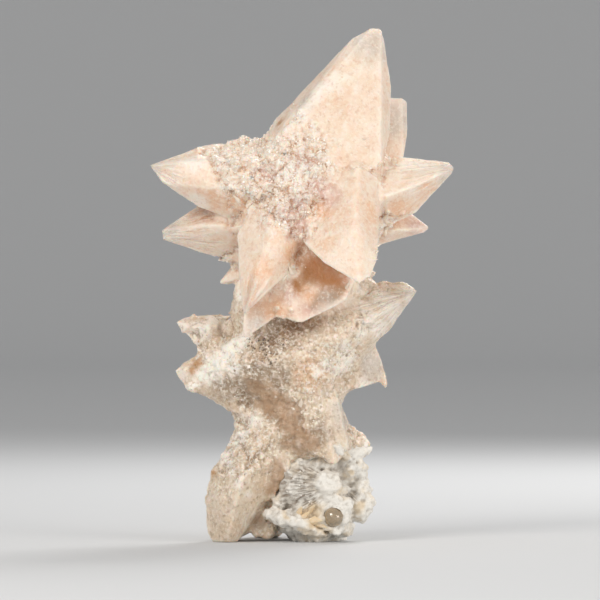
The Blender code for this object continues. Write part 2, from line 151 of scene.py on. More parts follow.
# Broad soft tints of the calcite, some of them painted light and shade: middle and reach.
TINTS = {
    "rose": (
        ((12.0, 31.2), 2.2), ((3.0, 24.8), 2.6), ((2.0, 23.4), 2.2), ((0.4, 23.0), 1.8),
        ((4.0, 26.0), 1.6), ((-0.9, 25.0), 1.5), ((-1.0, 33.2), 2.2), ((1.6, 34.6), 2.4),
        ((-0.4, 31.0), 1.8), ((-3.4, 36.6), 1.8), ((0.0, 38.0), 1.8),
    ),
    "grey": (
        ((9.8, 42.4), 3.4), ((-14.8, 37.0), 1.0), ((14.6, 37.0), 1.6), ((-4.6, 21.4), 2.4),
        ((7.2, 49.6), 3.0), ((-13.4, 30.8), 1.8), ((5.0, 12.6), 2.6), ((7.0, 17.6), 2.4),
        ((0.2, 43.6), 1.6), ((1.8, 45.4), 1.4), ((2.6, 23.8), 1.8),
    ),
    # Painted shade: a warmer colour on faces turned from the light, where light has gone deeper into the
    # calcite.
    "warm_shade": (
        ((-9.6, 34.2), 2.4), ((-6.6, 33.4), 2.0), ((-1.0, 28.6), 2.0), ((-3.4, 27.0), 1.8),
        ((12.0, 35.0), 1.6), ((10.0, 33.2), 2.0), ((1.6, 33.0), 1.8), ((-5.2, 25.0), 1.6),
        ((2.4, 29.4), 1.4), ((0.4, 24.8), 1.6), ((-2.6, 22.8), 2.2), ((4.4, 24.8), 1.8),
        ((-4.9, 23.4), 1.2), ((6.6, 33.0), 1.2), ((0.8, 16.8), 2.6),
    ),
    # Painted shade: caramel and brown where the star shades the crystal below it, and in the deep recesses
    # of the neck and foot.
    "deep": (
        ((1.0, 26.8), 2.0), ((2.4, 26.2), 1.8), ((-0.4, 25.6), 1.4), ((-3.0, 13.8), 2.2),
        ((-1.4, 12.4), 2.4), ((-2.6, 5.8), 1.4), ((-2.4, 3.4), 1.4), ((-3.0, 1.2), 1.4),
        ((3.6, 25.2), 1.0), ((0.6, 10.0), 1.6), ((-0.8, 9.4), 1.6), ((-2.2, 7.0), 1.6),
        ((-3.2, 4.6), 1.6), ((-4.0, 2.0), 1.4), ((-0.6, 11.2), 1.8), ((-4.6, 15.4), 1.6),
    ),
    # Partly a dusty tint and partly painted shade, on shaded recesses of the stalk and under the star.
    "dust": (
        ((-4.4, 17.0), 2.2), ((-6.6, 16.2), 1.8), ((-2.4, 16.4), 2.0), ((-2.8, 19.6), 1.4),
        ((-1.0, 21.0), 1.6), ((1.4, 23.4), 1.6), ((3.2, 24.4), 1.4), ((-7.4, 15.5), 2.6),
        ((-5.8, 14.9), 1.8), ((1.9, 11.2), 1.8),
    ),
    # Partly paler frost and partly painted highlight, on lit faces and bright ridges.
    "pale_and_highlight": (
        ((3.6, 46.2), 1.4), ((2.4, 45.0), 1.4), ((1.2, 44.0), 1.4), ((-0.4, 42.4), 1.6),
        ((-0.8, 36.8), 2.4), ((11.4, 37.4), 2.0), ((-10.4, 38.0), 2.0), ((4.4, 17.2), 2.0),
        ((-5.6, 11.4), 1.8), ((8.4, 24.0), 1.8), ((6.4, 22.8), 1.6), ((10.9, 24.5), 1.4),
        ((9.4, 22.8), 1.5), ((7.6, 21.0), 1.5), ((6.0, 20.4), 1.3), ((4.2, 19.0), 1.2),
        ((2.8, 17.9), 1.1), ((1.6, 16.9), 0.9), ((-7.2, 7.0), 0.9), ((-6.3, 6.0), 0.9),
        ((-5.2, 4.8), 0.9), ((-6.6, 10.4), 1.6), ((-7.6, 8.4), 1.3), ((-10.6, 34.0), 1.6),
        ((-11.8, 21.6), 1.6), ((-10.4, 21.0), 1.8), ((-8.6, 21.8), 1.6), ((-11.6, 16.4), 1.4),
        ((-9.4, 17.4), 2.4), ((-7.0, 19.2), 2.2), ((7.2, 15.4), 1.4), ((-0.4, 9.4), 0.6),
        ((-0.8, 8.4), 0.6), ((-1.5, 7.4), 0.6),
    ),
}

# Single larger crystals: place, length, half width, lean in degrees from upright, and finish.
SET_CRYSTALS = (
    ((6.1, 39.9), 1.0, 0.16, 78, "clear"),
    ((-1.1, 26.9), 1.1, 0.34, -40, "pearl"),
    ((-1.7, 26.2), 0.8, 0.26, 30, "pearl"),
    ((8.4, 32.4), 0.8, 0.26, 20, "clear"),
    ((8.2, 31.9), 0.7, 0.24, -25, "pearl"),
    ((8.5, 31.3), 0.8, 0.26, 40, "clear"),
    ((8.3, 30.8), 0.7, 0.24, -10, "pearl"),
    ((7.6, 37.4), 1.2, 0.22, 40, "clear"),
    ((7.4, 29.3), 0.7, 0.22, 60, "pearl"),
    ((7.5, 28.6), 0.7, 0.22, 35, "clear"),
    ((7.35, 27.9), 0.6, 0.2, 75, "pearl"),
    ((-0.1, 13.8), 0.9, 0.34, 15, "clear"),
    ((-0.7, 14.2), 0.6, 0.22, -30, "pearl"),
    ((0.5, 13.4), 0.6, 0.22, 35, "pearl"),
    ((0.1, 13.0), 0.5, 0.2, 60, "pearl"),
    ((-0.9, 13.2), 0.5, 0.2, -60, "pearl"),
    ((0.8, 14.2), 0.5, 0.2, 20, "pearl"),
    ((-3.2, 10.8), 0.5, 0.2, -15, "pearl"),
    ((-2.9, 10.2), 0.5, 0.2, 30, "pearl"),
    ((-2.3, 10.6), 0.5, 0.2, 10, "pearl"),
    ((-7.6, 22.2), 0.9, 0.36, 80, "pearl"),
    ((4.4, 25.3), 1.1, 0.3, 25, "clear"),
    ((4.9, 25.0), 0.9, 0.24, -20, "clear"),
    ((-4.2, 34.4), 1.0, 0.3, 20, "pearl"),
    ((-6.4, 34.0), 0.9, 0.28, -20, "pearl"),
    ((-5.2, 33.4), 0.8, 0.26, 60, "pearl"),
    ((-3.3, 36.8), 0.9, 0.26, -50, "clear"),
    ((1.0, 36.4), 0.8, 0.26, 30, "pearl"),
    ((2.2, 37.0), 0.8, 0.24, -20, "pearl"),
    ((-7.8, 6.6), 0.9, 0.3, -70, "pearl"),
    ((-8.0, 5.4), 0.8, 0.26, -50, "pearl"),
    ((-7.1, 5.0), 0.7, 0.24, 20, "pearl"),
    ((0.2, 2.6), 1.6, 0.5, 55, "honey"),
    ((0.9, 3.3), 1.4, 0.45, 30, "honey"),
    ((1.4, 2.2), 1.5, 0.5, 75, "honey"),
    ((-0.2, 3.2), 1.2, 0.4, 20, "honey"),
    ((1.9, 1.7), 1.2, 0.4, 95, "honey"),
)

# Broken tips at the stalk's left: the corners of each.
SHARDS = (
    (
        (-12.5, -1.0, 21.8), (-11.2, -0.9, 22.4), (-9.0, -0.6, 22.7), (-7.4, -0.2, 22.6),
        (-10.3, -2.8, 21.7), (-8.4, -3.1, 21.3), (-10.5, -1.3, 19.3), (-8.6, -2.0, 19.6),
        (-8.4, 1.4, 21.4), (-9.6, 1.0, 21.0),
    ),
    (
        (-12.6, -1.8, 17.0), (-12.0, -1.7, 17.7), (-10.8, -1.6, 18.5), (-9.4, -1.4, 19.1),
        (-11.8, -2.0, 15.5), (-11.3, -2.1, 14.9), (-9.4, -2.2, 14.2), (-8.6, -3.5, 17.2),
        (-10.2, -3.0, 16.6), (-9.0, 0.6, 17.0), (-8.6, 0.4, 15.4),
    ),
)

# Worn tongues of old calcite beside the foot: middle, half sizes and tilt in degrees, as in round_lump.
WORN_LUMPS = (
    ((-1.9, -3.9, 8.9), (1.15, 1.1, 1.9), 28),
    ((-2.6, -2.5, 4.4), (1.2, 1.3, 3.6), 12),
    ((-3.5, -2.6, 1.2), (1.1, 1.1, 1.2), 0),
    ((-4.5, -3.2, 0.9), (0.55, 0.6, 0.7), 0),
    ((0.2, -3.2, 9.2), (1.1, 1.2, 0.9), 0),
)

# Rounded masses of the matrix: middle, half sizes and tilt in degrees, as in round_lump.
MATRIX_LUMPS = (
    ((2.6, -4.6, 5.6), (1.9, 1.5, 1.3), 20),
    ((-0.6, -4.2, 5.2), (1.7, 1.6, 1.9), 0),
    ((-2.0, -3.9, 4.0), (1.0, 1.2, 1.2), 20),
    ((-1.2, -4.0, 6.8), (1.0, 1.0, 1.0), 30),
    ((0.0, -3.8, 8.2), (0.8, 0.8, 0.7), 30),
    ((2.5, -3.6, 7.9), (1.5, 0.9, 0.9), 0),
    ((1.2, -3.6, 7.6), (1.2, 1.0, 0.8), -15),
    ((5.1, -2.6, 7.0), (0.75, 0.9, 0.8), 0),
    ((6.0, -2.4, 4.9), (0.8, 1.2, 1.3), 10),
    ((6.6, -2.2, 5.0), (0.5, 0.8, 0.6), 0),
    ((5.8, -2.6, 3.0), (0.9, 1.2, 0.8), -20),
    ((3.9, -4.0, 1.5), (1.2, 1.4, 0.8), 0),
    ((4.5, -5.0, 3.4), (0.7, 0.8, 1.0), 15),
    ((2.0, -5.6, 3.6), (0.7, 0.6, 0.5), 30),
    ((3.2, -5.2, 4.2), (1.1, 0.8, 0.5), 0),
    ((-2.2, -4.6, 2.4), (1.4, 1.6, 0.16), 22),
    ((-1.0, -5.0, 2.1), (2.2, 1.5, 0.18), 19),
    ((-0.2, -5.0, 1.5), (2.4, 1.4, 0.16), 15),
    ((0.6, -4.8, 1.0), (2.2, 1.4, 0.16), 8),
)

# Where the matrix is stained, rough with small grains, or smooth and white: middle and reach.
MATRIX_SPOTS = {
    "stain": (
        ((1.2, 2.6), 1.9), ((5.0, 7.0), 0.9), ((2.6, 1.6), 1.2), ((5.6, 3.4), 1.0), ((-1.6, 2.6), 0.9),
    ),
    "rough": (
        ((-1.2, 5.4), 2.0), ((0.0, 6.4), 1.8), ((-1.0, 4.0), 1.6), ((0.6, 4.6), 1.4), ((1.0, 7.6), 1.0),
    ),
    "smooth": (
        ((2.4, 5.6), 1.6), ((3.2, 4.2), 1.0), ((4.4, 8.2), 1.3), ((5.2, 5.4), 1.0), ((0.0, 2.0), 0.8),
        ((3.7, 9.1), 0.8), ((5.5, 8.8), 1.0), ((6.5, 9.1), 0.8), ((3.5, 6.8), 0.7),
    ),
    "fibrous": (
        ((-1.0, 5.4), 2.6), ((0.4, 6.8), 1.8), ((0.4, 4.4), 2.0), ((2.6, 7.0), 1.2), ((4.6, 4.4), 1.4),
    ),
}

# Where the matrix's fibres and veins start.
VEIN_MIDDLE = (3.8, -4.6, 5.8)

BEAD_PLACE = (3.1, -5.85, 2.55)
BEAD_RADIUS = 1.0

# White chalky strands: their points with half widths.
CHALK_STRANDS = (
    (
        (3.35, 9.7, 0.3), (3.7, 9.0, 0.46), (4.3, 8.5, 0.6), (5.3, 8.7, 0.52), (6.3, 9.0, 0.5),
        (6.9, 9.5, 0.32),
    ),
    ((4.3, 8.5, 0.5), (4.1, 7.7, 0.32), (3.7, 7.0, 0.28), (3.3, 6.5, 0.32), (2.9, 5.8, 0.46)),
    ((5.4, 8.7, 0.36), (5.8, 7.9, 0.3), (5.6, 7.2, 0.24)),
    ((4.4, 8.3, 0.36), (5.0, 7.9, 0.3)),
    ((6.4, 9.0, 0.34), (6.9, 8.6, 0.24)),
)

# Steeper than this, in degrees, an edge between two flat faces counts as a ridge or as a crease. Edges that
# are shorter than the shortest one don't count.
RIDGE_ANGLE = 22.0
CREASE_ANGLE = 14.0
SHORTEST_EDGE = 0.7

# Below this height the crystals are old, worn and filled in between.
STALK_TOP = 20.0

# How high the old crystals reach, from the front to the back: (back, up).
OLD_REACH = ((-8.4, 19.0), (-4.2, 25.0), (12.0, 24.6))

# How far round its tip a clean crystal is spared from wear and crust.
TIP_REACH = 2.4

# The most triangles that the crystals' fine mesh keeps.
MOST_TRIANGLES = 195_000

# How far rays look for what shuts a place in, and how many of them start there.
# Shut-in places are painted darker as shade.
CRYSTAL_HOLLOW = 3.2
MATRIX_HOLLOW = 1.8
RAYS = 20

# Rounds of smoothing, and how far above the smoothed surface a full crest stands.
# Crests are painted lighter as highlight, and dips darker as shade.
CRYSTAL_CREST = (10, 0.06)
MATRIX_CREST = (10, 0.08)

# How far a grain turns at most about each of its two level axes, in radians.
GRAIN_LEAN = 0.8

# The stage, in metres: the paper's width, depth and wall, and the radius of the bend between them.
PAPER = (5.0, 3.0)
WALL_HEIGHT = 2.4
BEND_RADIUS = 0.45

# In metres: how far the camera stands off, how wide its picture is there, and where the lights aim.
CAMERA_DISTANCE = 0.5
PICTURE_WIDTH = 0.06
LIGHT_AIM = (0.0, 0.0, 0.026)

# How strong the even light from all round is.
AIR_STRENGTH = 0.5

# The kinds of node that come up most. The inputs of a range are, in order, its value, from low, from high,
# to low and to high, and the last two are 0 and 1 where they aren't given.
NOISE = "ShaderNodeTexNoise"
RANGE = "ShaderNodeMapRange"
MATH = "ShaderNodeMath"
MASK = "ShaderNodeAttribute"
PRINCIPLED = "ShaderNodeBsdfPrincipled"


def linear(code):
    """The linear colour, with alpha, of an sRGB hex code."""
    parts = [int(code[k:k + 2], 16) / 255 for k in (1, 3, 5)]
    return tuple(c / 12.92 if c <= 0.04045 else ((c + 0.055) / 1.055) ** 2.4 for c in parts) + (1.0,)


def per_mm(size):
    """The scale of a pattern on coordinates in metres whose features are that many millimetres wide."""
    return 1.0 / (size * MM)


def tone(name, description, code):
    """A colour that a user may change."""
    return bpy.props.FloatVectorProperty(
        name=name, description=description, subtype="COLOR", size=4, min=0.0, max=1.0, default=linear(code)
    )


def length(name, description, size):
    """A length that a user may change; its default is given in millimetres."""
    return bpy.props.FloatProperty(
        name=name, description=description, unit="LENGTH", precision=5, min=0.0, default=size * MM
    )


def light_power(name, description, watts):
    """A light's power that a user may change."""
    return bpy.props.FloatProperty(name=name, description=description, unit="POWER", min=0.0, default=watts)


class CalciteSizes(bpy.types.PropertyGroup):
    """Sizes of the fine surface."""

    mesh_step: length("Mesh step", "Spacing of the points of the crystals' fine mesh", 0.15)
    worn_step: length("Worn step", "Spacing of the points of the worn form", 0.35)
    star_filling: length("Star filling", "Half the width of the creases that crust fills on the star", 0.15)
    stalk_filling: length("Stalk filling", "Half the width of the creases filled on the stalk", 0.75)
    crust_relief: length("Crust relief", "Height of the lumps under the sugar crust", 0.30)
    face_relief: length("Face relief", "Height of the waves on clean crystal faces", 0.07)
    matrix_step: length("Matrix step", "Spacing of the points of the matrix's fine mesh", 0.13)
    matrix_lobes: length("Matrix lobes", "Height of the matrix's broad lobes", 0.70)
    matrix_veins: length("Matrix veins", "Depth of the matrix between its raised veins", 1.30)
    matrix_crumbs: length("Matrix crumbs", "Height of the matrix's crumbs", 0.35)
    matrix_pits: length("Matrix pits", "Depth of the matrix's small pits", 0.25)
    bead_dents: length("Bead dents", "How far the bead is from a true ball", 0.24)
    grain_spacing: length("Grain spacing", "Least distance between two sugar grains", 0.19)
    grain_size: length("Grain size", "Length of a sugar grain from root to tip", 0.28)


class CalciteColours(bpy.types.PropertyGroup):
    """Colours of the minerals, and of the light and shade painted on them."""

    cream: tone("Cream", "Pale clouds in the young crystals", "#F0DECA")
    peach: tone("Peach", "Body colour of the young crystals", "#E9CAAF")
    # Frost is also the painted highlight on ridges, crests and lit faces.
    frost_and_highlight: tone("Frost", "Worn ridges and the lightest sugar grains", "#F8F0E6")
    # Recess tan is painted shade, in the hollows and dips of the young crystals.
    tan: tone("Recess tan", "Deep hollows between young crystals", "#C68D63")
    caramel: tone("Caramel", "Shaded clear calcite under the star", "#A8733F")
    # Snow is also the painted highlight on the matrix's crests.
    snow_and_highlight: tone("Snow", "The whitest sugar grains", "#FFFBF5")
    # Amber is the painted warm shade on faces turned from the light.
    warm_shade: tone("Amber", "Warmer tint where light has gone deeper", "#E9B88E")
    rose: tone("Rose", "Lilac-pink tint of some faces", "#CBA093")
    grey: tone("Clear grey", "Tips that let more light through", "#CCC1B5")
    # Smoky brown is partly dust and partly painted shade.
    smoke_and_shade: tone("Smoky brown", "Dusty flats of the old crystals", "#98826B")
    beige: tone("Beige", "Body colour of the old crystals", "#CDB497")
    bone: tone("Bone", "Pale clouds in the old crystals", "#E4D6C2")
    # Old brown is mostly painted shade, in the hollows and deep recesses of the old crystals; their small
    # pits take it too.
    brown: tone("Old brown", "Deep hollows between old crystals", "#8E6C4C")
    chalk: tone("Chalk", "White chalky film", "#F8F2E8")
    stain: tone("Iron stain", "Rusty spots", "#B27C3A")
    speck: tone("Dark speck", "Specks of dark mineral", "#544232")
    matrix_white: tone("Matrix white", "Clean chalk of the matrix", "#E9E6DF")
    matrix_grey: tone("Matrix grey", "Dusty hollows of the matrix", "#A89F93")
    matrix_tan: tone("Matrix tan", "Tan stains of the matrix", "#DCC7A6")
    # Umber is the colour of the matrix's dark threads, and the painted shade in its hollows and dips.
    umber_and_shade: tone("Umber", "Deepest gaps of the matrix", "#7E6B58")
    honey: tone("Honey", "Small honey crystals beside the bead", "#F1DBB8")
    bead: tone("Bead", "Tint of the clear bead", "#F6DDB4")


class CalciteStudio(bpy.types.PropertyGroup):
    """The colour of the paper and the power of the lights."""

    paper: tone("Paper", "Seamless paper under and behind the specimen", "#D6D8DA")
    key: light_power("Key light", "Power of the large light", 0.53)
    fill: light_power("Fill light", "Power of the soft light", 0.6)
    rim: light_power("Rim light", "Power of the light behind", 0.4)


def only(piece):
    """Selects one object and makes it the active one."""
    bpy.ops.object.select_all(action="DESELECT")
    piece.select_set(True)
    bpy.context.view_layer.objects.active = piece


def shape_with(piece, kind, **settings):
    """Adds a modifier with these settings and applies it."""
    only(piece)
    modifier = piece.modifiers.new(kind.title(), kind)
    for name, value in settings.items():
        setattr(modifier, name, value)
    bpy.ops.object.modifier_apply(modifier=modifier.name)


def displaced(piece, texture, height, group="", middle=0.5):
    """Raises a piece along its normals by a pattern; height is in metres."""
    shape_with(
        piece, "DISPLACE", texture=texture, texture_coords="LOCAL", strength=height, mid_level=middle,
        vertex_group=group,
    )


def place_in_mesh(piece):
    """Moves an object's place, turn and scale into its mesh."""
    bpy.context.view_layer.update()
    piece.data.transform(piece.matrix_world)
    piece.matrix_world = Matrix.Identity(4)


def joined(pieces, name):
    """Joins pieces whose objects are all at the origin."""
    bpy.ops.object.select_all(action="DESELECT")
    for piece in pieces:
        piece.select_set(True)
    bpy.context.view_layer.objects.active = pieces[0]
    if len(pieces) > 1:
        bpy.ops.object.join()
    pieces[0].name = name
    pieces[0].data.name = name
    return pieces[0]


def edit_whole(piece, change, **settings):
    """Runs a mesh operator on the whole of a piece."""
    only(piece)
    bpy.ops.object.mode_set(mode="EDIT")
    bpy.ops.mesh.select_all(action="SELECT")
    change(**settings)
    bpy.ops.object.mode_set(mode="OBJECT")


def merged_copy(node, name):
    """A copy of a CAD node as one closed mesh."""
    piece = copied(frame["nodes"][node], name)
    piece.data.materials.clear()
    edit_whole(piece, bpy.ops.mesh.remove_doubles, threshold=0.002 * MM)
    return piece


def copied(piece, name):
    """A copy of a piece, with a mesh of its own."""
    twin = bpy.data.objects.new(name, piece.data.copy())
    bpy.context.scene.collection.objects.link(twin)
    return twin


def remove(*things):
    """Deletes objects."""
    for thing in things:
        bpy.data.objects.remove(thing)


def primitive(adder, name, **settings):
    """A primitive that is added with nothing else selected."""
    bpy.ops.object.select_all(action="DESELECT")
    adder(**settings)
    bpy.context.object.name = name
    return bpy.context.object


def round_lump(middle, half, tilt=0.0):
    """A rounded mass, in millimetres; tilt, in degrees, leans its top to the right."""
    lump = primitive(
        bpy.ops.mesh.primitive_ico_sphere_add, "lump", subdivisions=4, radius=1.0,
        location=Vector(middle) * MM, rotation=(0.0, math.radians(tilt), 0.0), scale=Vector(half) * MM,
    )
    place_in_mesh(lump)
    return lump


def shard(corners):
    """The closed hull of some corners, in millimetres."""
    mesh = bpy.data.meshes.new("shard")
    mesh.from_pydata([Vector(corner) * MM for corner in corners], [], [])
    piece = bpy.data.objects.new("shard", mesh)
    bpy.context.scene.collection.objects.link(piece)
    edit_whole(piece, bpy.ops.mesh.convex_hull)
    return piece


def pattern(name, kind, size, **settings):
    """A displacement pattern whose features are that many millimetres wide."""
    made = bpy.data.textures.new(name, kind)
    made.noise_scale = size * MM
    for key, value in settings.items():
        setattr(made, key, value)
    return made


def points_of(piece):
    """The vertices of a mesh, in millimetres."""
    found = np.empty(len(piece.data.vertices) * 3)
    piece.data.vertices.foreach_get("co", found)
    return found.reshape(-1, 3) / MM


def normals_of(piece):
    """The vertices' normals."""
    found = np.empty(len(piece.data.vertices) * 3)
    piece.data.vertex_normals.foreach_get("vector", found)
    return found.reshape(-1, 3)


def flatten_base(piece):
    """Keeps a piece on the surface that it rests on."""
    points = points_of(piece)
    points[:, 2] = np.maximum(points[:, 2], 0.0)
    piece.data.vertices.foreach_set("co", (points * MM).ravel())
    piece.data.update()


def step(low, high, values):
    """A smooth step from 0 at low to 1 at high."""
    t = np.clip((values - low) / (high - low), 0.0, 1.0)
    return t * t * (3.0 - 2.0 * t)


def clouds(points, size, seed=0):
    """Smooth noise of about -1 to 1, with features of that many millimetres."""
    shift = Vector((seed * 7.31, seed * 3.17, seed * 5.53))
    return np.array([noise.noise(Vector(p) / size + shift) for p in points])


def to_rods(points, rods):
    """1 inside the rods, fading to 0 outside them."""
    found = np.zeros(len(points))
    for start, end, radius in rods:
        a = np.array(start)
        way = np.array(end) - a
        t = np.clip((points - a) @ way / (way @ way), 0.0, 1.0)
        gap = np.linalg.norm(points - a - t[:, None] * way, axis=1)
        found = np.maximum(found, 1.0 - step(radius * 0.7, radius * 1.35, gap))
    return found


def to_spots(points, spots):
    """1 at the spots, falling to 0 at their reach."""
    found = np.zeros(len(points))
    for middle, reach in spots:
        gap = np.linalg.norm(points - np.array(middle), axis=1)
        found = np.maximum(found, 1.0 - step(reach * 0.35, reach, gap))
    return found


def tree_of(*pieces):
    """A search tree over some meshes, in metres."""
    corners, faces = [], []
    for piece in pieces:
        first = len(corners)
        corners.extend(v.co for v in piece.data.vertices)
        faces.extend([first + i for i in p.vertices] for p in piece.data.polygons)
    return BVHTree.FromPolygons(corners, faces)


def seen_at(tree, right, up):
    """The point, in millimetres, and normal that the viewer sees at a place on the best side.

    A place just past the outline counts as the nearest one further in."""
    for tries in range(9):
        place = right - math.copysign(0.25 * tries, right)
        hit, normal, _, _ = tree.ray_cast(Vector((place * MM, -0.05, up * MM)), Vector((0.0, 1.0, 0.0)))
        if hit is not None:
            return hit / MM, normal
    raise RuntimeError(f"nothing is seen at {right}, {up}")


def on_surface(tree, spots):
    """Spots given by their place on the best side, as points on what the viewer sees there."""
    return [(seen_at(tree, *middle)[0], reach) for middle, reach in spots]


def gaps(points, tree):
    """How far each point is, in millimetres, from a mesh."""
    return np.array([tree.find_nearest(Vector(p) * MM)[3] for p in points]) / MM


def worn_form(solid, step_length, reach, top=None):
    """A rounded copy of a solid whose creases are filled up to that reach, cut off above top."""
    worn = copied(solid, "worn")
    shape_with(worn, "REMESH", mode="VOXEL", voxel_size=step_length)
    for way in (reach, -reach):
        shape_with(worn, "DISPLACE", strength=way, mid_level=0.0)
        shape_with(worn, "REMESH", mode="VOXEL", voxel_size=step_length)
    shape_with(worn, "SMOOTH", factor=0.5, iterations=4)
    if top is not None:
        cut = {"plane_co": (0.0, 0.0, top * MM), "plane_no": (0.0, 0.0, 1.0)}
        edit_whole(worn, bpy.ops.mesh.bisect, clear_outer=True, use_fill=True, **cut)
    return worn


def point_tree(points):
    """A search tree over some points."""
    tree = KDTree(len(points))
    for k, point in enumerate(points):
        tree.insert(point, k)
    tree.balance()
    return tree


def edge_trees(piece):
    """Search trees over the ridges and over the creases of a faceted mesh, in millimetres."""
    shape = bmesh.new()
    shape.from_mesh(piece.data)
    found = {"ridge": [], "crease": []}
    for edge in shape.edges:
        if len(edge.link_faces) != 2 or edge.calc_length() < SHORTEST_EDGE * MM:
            continue
        turn = math.degrees(edge.calc_face_angle_signed(0.0))
        kind = "ridge" if turn > RIDGE_ANGLE else "crease" if turn < -CREASE_ANGLE else None
        if kind is None:
            continue
        a, b = (vert.co / MM for vert in edge.verts)
        count = max(2, int((b - a).length / 0.15))
        found[kind].extend(a.lerp(b, k / count) for k in range(count + 1))
    shape.free()
    return point_tree(found["ridge"]), point_tree(found["crease"])


def distances(points, tree):
    """How far each point is from the nearest one of a search tree."""
    return np.array([tree.find(Vector(p))[2] for p in points])


def sky_share(tree, points, normals, reach):
    """The share of the half space over each point that is open, from seeded rays of that reach."""
    rng = random.Random(3)
    rays = []
    while len(rays) < RAYS:
        ray = Vector((rng.uniform(-1, 1), rng.uniform(-1, 1), rng.uniform(-1, 1)))
        if 0.2 < ray.length < 1.0:
            rays.append(ray.normalized())
    shares = []
    for point, normal in zip(points, normals):
        up = Vector(normal)
        start = Vector(point) * MM + up * (0.06 * MM)
        ways = [(up * 1.05 + ray).normalized() for ray in rays]
        shares.append(sum(tree.ray_cast(start, way, reach * MM)[0] is None for way in ways) / RAYS)
    return np.array(shares)


def carried_over(points, from_points, values):
    """Values of the nearest of some other points, blended over the three nearest."""
    tree = point_tree(from_points)
    made = []
    for point in points:
        near = tree.find_n(point, 3)
        weights = [1.0 / (gap + 0.05) for _, _, gap in near]
        made.append(sum(w * values[k] for w, (_, k, _) in zip(weights, near)) / sum(weights))
    return np.array(made)


def hollow_of(piece, reach):
    """How shut in each vertex is, worked out on a coarse copy; shade is painted there."""
    coarse = copied(piece, "coarse")
    shape_with(coarse, "REMESH", mode="VOXEL", voxel_size=0.5 * MM)
    places, normals = points_of(coarse), normals_of(coarse)
    open_share = sky_share(tree_of(coarse), places, normals, reach)
    remove(coarse)
    return carried_over(points_of(piece), places, step(0.92, 0.35, open_share))


def relief_of(piece, rounds, full):
    """How far each vertex stands out of the smoothed surface, from -1 to 1 at that many millimetres."""
    calm = copied(piece, "calm")
    shape_with(calm, "SMOOTH", factor=0.5, iterations=rounds)
    gap = ((points_of(piece) - points_of(calm)) * normals_of(calm)).sum(axis=1)
    remove(calm)
    return np.clip(gap / full, -1.0, 1.0)


def age_of(points):
    """0 on the young crystals of the star and 1 on the old ones of the stalk."""
    border = np.interp(points[:, 1], *zip(*OLD_REACH))
    border = border + 2.4 * step(4.0, 7.5, points[:, 0]) + 0.9 * clouds(points, 1.4, 5)
    return step(-0.7, 0.9, border - points[:, 2])


def ridge_lines(points):
    """Coordinates that run along some crystals, and a mask of where their ridges show."""
    lines = np.zeros((len(points), 3))
    mask = np.zeros(len(points))
    for k, (tip, root, reach) in enumerate(RIDGED_CRYSTALS):
        a = np.array(tip)
        way = np.array(root) - a
        way = way / np.linalg.norm(way)
        side = np.cross(way, (0.0, 1.0, 0.0))
        side = side / np.linalg.norm(side)
        other = np.cross(way, side)
        along = (points - a) @ way
        right = (points - a) @ side
        front = (points - a) @ other
        far = np.hypot(right, front)
        here = (1.0 - step(reach * 0.5, reach, along)) * (1.0 - step(0.42, 0.75, far / (along + 2.2)))
        here = here * (along > -0.6)
        turn = np.arctan2(front, right)
        chosen = here > mask
        made = np.stack((np.cos(turn) * 2.2, np.sin(turn) * 2.2, along * 0.10 + k * 5.0), axis=1)
        lines[chosen] = made[chosen]
        mask = np.maximum(mask, here)
    return lines, mask


def crystal_masks(piece, solid):
    """The masks of the crystals' finish and painted light and shade, from places and edges, for the
    vertices as they are.
    """
    points = points_of(piece)
    tree = tree_of(solid)
    ridges, creases = edge_trees(solid)
    old = age_of(points)
    bend = np.stack([clouds(points, 1.8, seed) for seed in (11, 12, 13)], axis=1)
    clean = to_rods(points + 0.5 * bend, CLEAN_FACES)
    thick = [(middle, 1.25 * reach) for middle, reach in on_surface(tree, THICK_SUGAR)]
    near_crease = 1.0 - step(0.4, 2.4, distances(points, creases))
    patchy = step(-0.35, 0.35, clouds(points, 1.5, 4)) * near_crease
    sugar = 0.85 * patchy + 0.9 * to_spots(points + bend, thick) + 0.3 * old + 0.3 * clouds(points, 2.2, 1)
    sugar = np.clip(sugar, 0.0, 1.0) * (1.0 - 0.93 * clean) * step(0.3, 0.9, points[:, 2])
    lines, line_mask = ridge_lines(points)
    ragged = points + 0.5 * clouds(points, 0.8, 21)[:, None]
    masks = {name: to_spots(ragged, on_surface(tree, spots)) for name, spots in SPOTS.items()}
    masks.update({name: to_spots(points + bend, on_surface(tree, spots)) for name, spots in TINTS.items()})
    masks.update(old=old, sugar=sugar, clean=clean, line_mask=line_mask, lines=lines)
    # Painted highlight: a narrow band along each ridge, which the material makes lighter.
    masks["ridge"] = np.exp(-((distances(points, ridges) / 0.22) ** 2))
    return masks


def store(piece, name, values):
    """Keeps one number, or one vector, for each vertex."""
    kind, field = ("FLOAT", "value") if values.ndim == 1 else ("FLOAT_VECTOR", "vector")
    layer = piece.data.attributes.get(name) or piece.data.attributes.new(name, kind, "POINT")
    layer.data.foreach_set(field, values.astype(np.float32).ravel())


def read(piece, name):
    """The number that is kept for each vertex under that name."""
    found = np.empty(len(piece.data.vertices))
    piece.data.attributes[name].data.foreach_get("value", found)
    return found


def weigh(piece, name, values, levels=40):
    """A vertex group with these weights."""
    group = piece.vertex_groups.new(name=name)
    steps = np.rint(np.clip(values, 0.0, 1.0) * levels).astype(int)
    for level in range(1, levels + 1):
        members = np.nonzero(steps == level)[0].tolist()
        if members:
            group.add(members, level / levels, "REPLACE")


